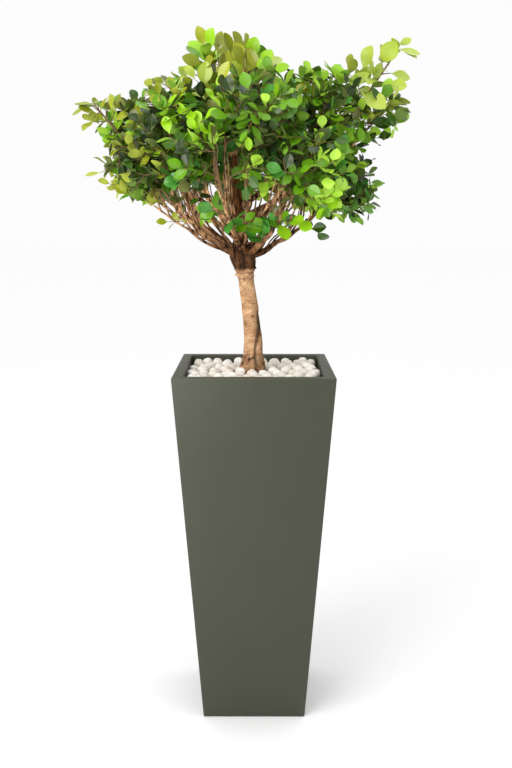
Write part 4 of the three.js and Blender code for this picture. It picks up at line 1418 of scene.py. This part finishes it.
def blade_faces():
    """Faces of one blade, and which finish each takes."""
    faces, finishes = [], []
    for row in range(BLADE_ROWS):
        left, rib_left, rib_right, right, under = range(ROW_POINTS * row, ROW_POINTS * (row + 1))
        for a, b, finish in ((left, rib_left, UPPER), (rib_left, rib_right, MIDRIB),
                             (rib_right, right, UPPER), (right, under, UNDER), (under, left, UNDER)):
            at_tip = row == BLADE_ROWS - 1
            faces.append((a, b, BLADE_TIP) if at_tip else (a, b, b + ROW_POINTS, a + ROW_POINTS))
            finishes.append(finish)
    faces.append((0, *range(ROW_POINTS - 1, 0, -1)))
    finishes.append(UNDER)
    return faces, finishes


BLADES = [blade_form(**form) for form in BLADE_FORMS]
FACES, FACE_FINISHES = blade_faces()
print("blade", len(BLADES[0]), "points", len(FACES), "faces")

# %% [markdown]
# Each spray takes one tint. Deep greens are the old leaves inside, darker also as painted shade for the
# inside of the crown. Yellow greens are the young ones at the top and the tips, paler also as painted light
# that shines through them. The left side of this crown is more olive and the right side fresher. Tints are
# dealt out by shares, and a broad noise shifts the deal, so that light and dark sprays stand in patches as
# they do on the plant.

# %% Tints
TINTS = dict(
    deep=(35, 55, 9),
    dark=(52, 88, 12),
    dull=(92, 96, 44),
    green=(98, 152, 14),
    emerald=(66, 132, 44),
    fresh=(152, 204, 28),
    bright=(174, 220, 66),
    olive=(146, 156, 32),
    yellow=(172, 180, 50),
    lime=(178, 198, 72),
)
TINT_SHARES = dict(
    # Old leaves inside, darker also as painted shade.
    inner=dict(deep=0.50, dark=0.34, dull=0.06, green=0.10),
    skirt=dict(deep=0.12, dark=0.20, dull=0.07, emerald=0.11, green=0.23, fresh=0.17, bright=0.10),
    shoulder=dict(deep=0.07, dark=0.15, dull=0.05, emerald=0.10, green=0.25, fresh=0.20, bright=0.13,
                  olive=0.05),
    left=dict(deep=0.13, dark=0.20, dull=0.16, green=0.13, fresh=0.08, olive=0.23, yellow=0.07),
    right=dict(deep=0.10, dark=0.16, dull=0.03, emerald=0.14, green=0.19, fresh=0.19, bright=0.19),
    # Crest and sprig: young leaves, paler also as painted light shining through them.
    crest=dict(green=0.14, fresh=0.12, olive=0.36, yellow=0.26, lime=0.12),
    sprig=dict(bright=0.12, lime=0.88),
    spur=dict(dark=0.10, green=0.25, fresh=0.30, olive=0.12, bright=0.13, lime=0.10),
    shoot=dict(green=0.14, olive=0.62, yellow=0.24),
)
YOUNG_KINDS = ("crest", "sprig", "spur", "shoot")
LEFT_OF, RIGHT_OF = -0.19, 0.12
PATCH_SHARE, PATCH_SCALE = 0.62, 11


def tint_kind(spray):
    """Which shares of tints a spray is dealt from: by its kind if it is young, else by its place."""
    if spray["kind"] in YOUNG_KINDS:
        return spray["kind"]
    if spray["depth"] > INNER_DEPTH:
        return "inner"
    across = spray["handles"][-1][0]
    return "left" if across < LEFT_OF else "right" if across > RIGHT_OF else spray["kind"]


def tint_of(spray):
    """The tint that was chosen for a spray, or else the one that its number and its patch fall on."""
    if spray["tint"]:
        return spray["tint"]
    patch = PATCH_SHARE * noise.noise(Vector(spray["handles"][-1] * PATCH_SCALE))
    draw, total = max(0, spray["random"]() + patch), 0.0
    for tint, share in TINT_SHARES[tint_kind(spray)].items():
        total += share
        if draw < total:
            break
    return tint


print("tints", len(TINTS))

# %% [markdown]
# Leaves stand along a shoot from its tip downwards in a spiral, and each turns its face up and outwards to
# the light, some more and some less. The leaf at the tip carries on the way of the shoot.

# %% A leaf on its shoot
CROWN_MIDDLE = np.array((-0.035, 0.0, 1.400))
FRONT = np.array((0.0, -1.0, 0.0))
LOWEST_LEAF_AT = 0.95
LEAF_SPLAY_LOW, LEAF_SPLAY_HIGH, TIP_SPLAY = 0.65, 1.15, 0.35
LEAF_FACE_JITTER = 1.3
LEAF_WIDTH_LOW, LEAF_WIDTH_HIGH = 0.56, 0.74
LEAF_SIZE_LOW, LEAF_SIZE_HIGH = 0.74, 1.12


def back_share(spray, look, index):
    """How far back from the tip of its shoot a leaf stands."""
    return min(LOWEST_LEAF_AT, index * look["pitch"] * look["leaf"] / spray["reach"])


def leaf_on(spray, look, index, turn):
    """The points of one leaf of a spray."""
    random = spray["random"]
    back = back_share(spray, look, index)
    foot = curve_point(spray["handles"], 1 - back)
    heading = curve_heading(spray["handles"], 1 - back)
    splay = random.between(LEAF_SPLAY_LOW, LEAF_SPLAY_HIGH) if index else random.between(0, TIP_SPLAY)
    way = spiral_way(heading, turn + index * GOLDEN_ANGLE, splay, look["lift"])
    jitter = np.array([random.between(-0.5, 0.5) for _ in range(3)]) * LEAF_FACE_JITTER
    outward = unit(foot - CROWN_MIDDLE)
    facing = UP * look["up"] + outward * look["out"] + FRONT * look["front"] + jitter
    face = unit(facing - (facing @ way) * way)
    length = look["leaf"] * random.between(LEAF_SIZE_LOW, LEAF_SIZE_HIGH)
    width = length * look["wide"] * random.between(LEAF_WIDTH_LOW, LEAF_WIDTH_HIGH)
    form = BLADES[int(random() * len(BLADES))]
    points = foot + np.outer(form[:, 0] * length, way)
    return points + np.outer(form[:, 1] * width, np.cross(face, way)) + np.outer(form[:, 2] * length, face)


# %% [markdown]
# Then every spray gets its leaves. A leaf that would leave the crown's reach, or touch wood, is left out,
# and the bare end of its shoot with it. A few points on each leaf are enough for the test: its foot, its
# edges in two places and its tip.

# %% Leaves of every spray
LEAFY_LENGTH = 0.058
REACH_SLACK, FREE_SLACK = 0.012, 0.022
PROBED_ROWS, EDGE_POINTS = (4, 7), (0, 3)
PROBES = [ROW_POINTS, *[ROW_POINTS * row + edge for row in PROBED_ROWS for edge in EDGE_POINTS], BLADE_TIP]
SHOOT_SHARES, SHOOT_SIDES = (0, 0.35, 0.7, 1), 4

box_low, box_high = np.array(cad_low) - FREE_SLACK, np.array(cad_high) + FREE_SLACK


def in_crown(points):
    """True if every point lies in the reach of some ball, and under the outline as seen from the front."""
    beyond = np.linalg.norm(points[:, None] - ball_centres[None], axis=2) - ball_radii
    return bool(np.all(beyond.min(axis=1) < REACH_SLACK) and np.all(under_top(points) > 0))


def leaf_fits(spray, probes):
    """True if a leaf keeps clear of wood and inside the crown, or for a free spray near the solids' box."""
    if not clear_of_limbs(probes):
        return False
    if spray["free"]:
        return bool(np.all(probes > box_low) and np.all(probes < box_high))
    return in_crown(probes) and not in_window(probes).any()


leaf_points = {tint: [] for tint in TINTS}
skipped = 0
for spray in sprays:
    look = LOOKS[spray["kind"]]
    tint = tint_of(spray)
    turn = spray["random"].between(0, 2 * math.pi)
    count = 1 + int(min(spray["reach"], LEAFY_LENGTH) / (look["pitch"] * look["leaf"]))
    leaves = [leaf_on(spray, look, index, turn) for index in range(count)]
    kept = [index for index in range(count) if leaf_fits(spray, leaves[index][PROBES])]
    leaf_points[tint] += [leaves[index] for index in kept]
    skipped += count - len(kept)
    end = max([spray["forked_at"]] + [1 - back_share(spray, look, index) for index in kept[:1]])
    if end > 0:
        line = [curve_point(spray["handles"], share * end) for share in SHOOT_SHARES]
        twigs.add(line, [mix(*spray["radii"], share) for share in SHOOT_SHARES], SHOOT_SIDES)
print("twigs", twigs.count, "leaves", sum(map(len, leaf_points.values())), "left out", skipped)

# %% [markdown]
# Stems, twigs and shoots have a thin, plain brown bark, too fine to show more than a little grain. They are
# one mesh, and it stands for the solid leaf masses together with the leaves.

# %% Twigs
foliage_nodes = [f"foliage_{mass['label']}" for mass in masses]
twig_finish, twig_tree, twig_shader = new_finish("twig_bark", Base_Color=linear(122, 92, 58), Roughness=0.7)
add_grain(twig_tree, twig_shader, object_place(twig_tree), **LIMB_GRAIN)
twig_piece = twigs.piece("twigs", twig_finish)
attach(twig_piece, "root")
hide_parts(*foliage_nodes)
print("twigs", len(twig_piece.data.polygons), "faces")

# %% [markdown]
# The leaves of one tint are joined into one mesh. Its three finishes are plain colours: the glossy upper
# side, a paler midrib, and a dull, paler underside. The edge between the two sides is marked sharp, so that
# light doesn't blur round the thin rim.

# %% Leaf meshes
PALE_GREEN = np.array(linear(176, 190, 110))
LEAF_SIDES = (
    dict(name="leaf", pale=0, dull=0.30, shine=0.42),
    dict(name="midrib", pale=0.35, dull=0.45, shine=0.25),
    dict(name="underside", pale=0.22, dull=0.6, shine=0.12),
)


def leaf_finish(tint, name, pale, dull, shine):
    """The plain finish of one side of the leaves of a tint."""
    colour = tuple(mix(np.array(linear(*TINTS[tint])), PALE_GREEN, pale))
    return new_finish(f"{name}_{tint}", Base_Color=colour, Roughness=dull, Specular_IOR_Level=shine)[0]


def leaf_piece(tint, found):
    """One mesh of all the leaves of a tint."""
    size = len(BLADES[0])
    faces = copied_faces(FACES, size, len(found))
    finishes = [leaf_finish(tint, **side) for side in LEAF_SIDES]
    piece = mesh_piece(f"leaves_{tint}", np.concatenate(found), faces, *finishes)
    mesh = piece.data
    mesh.polygons.foreach_set("material_index", FACE_FINISHES * len(found))
    rim = [ROW_POINTS * row + edge for row in range(BLADE_ROWS) for edge in EDGE_POINTS] + [BLADE_TIP]
    on_rim = np.zeros((len(found), size), bool)
    on_rim[:, rim] = True
    ends = np.empty(2 * len(mesh.edges), int)
    mesh.edges.foreach_get("vertices", ends)
    sharp = on_rim.ravel()[ends.reshape(-1, 2)].all(axis=1)
    mesh.attributes.new("sharp_edge", "BOOLEAN", "EDGE").data.foreach_set("value", sharp)
    return piece


for tint, found in leaf_points.items():
    piece = leaf_piece(tint, found)
    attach(piece, "root")
    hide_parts(*foliage_nodes)
    print(piece.name, len(found), "leaves", len(piece.data.polygons), "faces")

# %% [markdown]
# The stones are washed white pebbles, a little smaller than a walnut, and they lie loose, with dark gaps.
# One pebble is a cube that is cut finer and blown up to a ball. Each copy is squashed, turned and dented by
# a noise of its own.

# %% One pebble
PEBBLE_CUTS = 3

bpy.ops.mesh.primitive_cube_add(size=1)
model_pebble = start_piece("model_pebble")
bpy.ops.object.mode_set(mode="EDIT")
bpy.ops.mesh.select_all(action="SELECT")
bpy.ops.mesh.subdivide(number_cuts=PEBBLE_CUTS)
bpy.ops.transform.tosphere(value=1)
bpy.ops.object.mode_set(mode="OBJECT")
spokes = np.array([vertex.co for vertex in model_pebble.data.vertices])
spokes /= np.linalg.norm(spokes, axis=1)[:, None]
pebble_faces = [tuple(polygon.vertices) for polygon in model_pebble.data.polygons]
bpy.data.objects.remove(model_pebble)
print("pebble", len(pebble_faces), "faces")

# %% [markdown]
# The pebbles are dropped round the trunk in two layers: a close lower one, and an upper one with more room
# between its stones. A tone of its own for each pebble keeps the bed from looking like one casting.

# %% Bed of pebbles
PEBBLE_SEED, LAYER_TRIES = 41, 9000
PEBBLE_TOP, LOWER_TOP, PEBBLE_LIFT = 0.8955, 0.880, 0.0020
UPPER_GAP, LOWER_GAP = 0.0285, 0.024
PEBBLE_EDGE, PEBBLE_TRUNK_ROOM = 0.0135, 0.009
PEBBLE_HALVES = ((0.0128, 0.0152), (0.0116, 0.0134), (0.0104, 0.0124))
PEBBLE_TILT = 0.3
DENT_DEPTH, DENT_SCALE, DENT_ROOM = 0.16, 1.3, 100

stone_points, stone_tones = [], []
bed_reach = opening_side / 2 - PEBBLE_EDGE
foot_axis = curve_point(TRUNK_HANDLES, trunk_share_at(PEBBLE_TOP))


def spread_pebbles(gap, random):
    """Places of one layer, none too near to another of the layer or to the trunk."""
    places = []
    for _ in range(LAYER_TRIES):
        place = np.array([random.between(-bed_reach, bed_reach) for _ in range(2)])
        away = place - foot_axis[:2]
        room = np.linalg.norm(away) - trunk_radius(PEBBLE_TOP, math.atan2(away[1], away[0]))
        if room > PEBBLE_TRUNK_ROOM and all(np.linalg.norm(place - other) > gap for other in places):
            places.append(place)
    return places


def lay_pebbles(gap, top, random):
    """Adds one layer of pebbles, each of its own size, turn, dents, height and tone."""
    for place in spread_pebbles(gap, random):
        half = np.array([random.between(low, high) for low, high in PEBBLE_HALVES])
        turn = Matrix.Rotation(random.between(0, math.pi), 3, "Z")
        tilt = Matrix.Rotation(random.between(-PEBBLE_TILT, PEBBLE_TILT), 3, "X")
        stone_tones.extend([random()] * len(spokes))
        dent_place = Vector((random.between(0, DENT_ROOM), 0, 0))
        dents = [1 + DENT_DEPTH * noise.noise(Vector(spoke * DENT_SCALE) + dent_place) for spoke in spokes]
        middle = np.array((*place, top + random.between(-PEBBLE_LIFT, PEBBLE_LIFT) - half[2]))
        stone_points.append(middle + (spokes * np.array(dents)[:, None] * half) @ np.array(turn @ tilt).T)


random = Seeded(PEBBLE_SEED)
lay_pebbles(LOWER_GAP, LOWER_TOP, random)
lay_pebbles(UPPER_GAP, PEBBLE_TOP, random)
stone_faces = copied_faces(pebble_faces, len(spokes), len(stone_points))
pebbles = mesh_piece("pebble_bed", np.concatenate(stone_points), stone_faces)
pebbles.data.attributes.new("tone", "FLOAT", "POINT").data.foreach_set("value", stone_tones)
print("pebbles", len(stone_points))

# %% [markdown]
# Washed marble is almost white and slightly cloudy. Some stones are a touch warmer than others, which the
# tone of each pebble says, and a very fine grain takes the gloss off.

# %% Pebble finish
stone_finish, stone_tree, stone_shader = new_finish("white_pebble", Roughness=0.62, Specular_IOR_Level=0.4)
stone_place = object_place(stone_tree)
stone_clouds = place_group(stone_tree, cloudy, stone_place, Scale=110, Contrast=1.4,
                           Dark=linear(246, 242, 238), Light=linear(254, 253, 251))
stone_warmth = attribute_share(stone_tree, "tone")
stone_tone = mixed(stone_tree, stone_warmth, linear(254, 252, 250), linear(236, 227, 218))
feed(stone_tree, stone_shader, Base_Color=times(stone_tree, stone_clouds["Color"], stone_tone))
add_grain(stone_tree, stone_shader, stone_place, Scale=900, Strength=0.15, Distance=0.0004)
pebbles.data.materials.append(stone_finish)
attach(pebbles, "root")
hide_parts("pebbles")
print("finish", stone_finish.name)
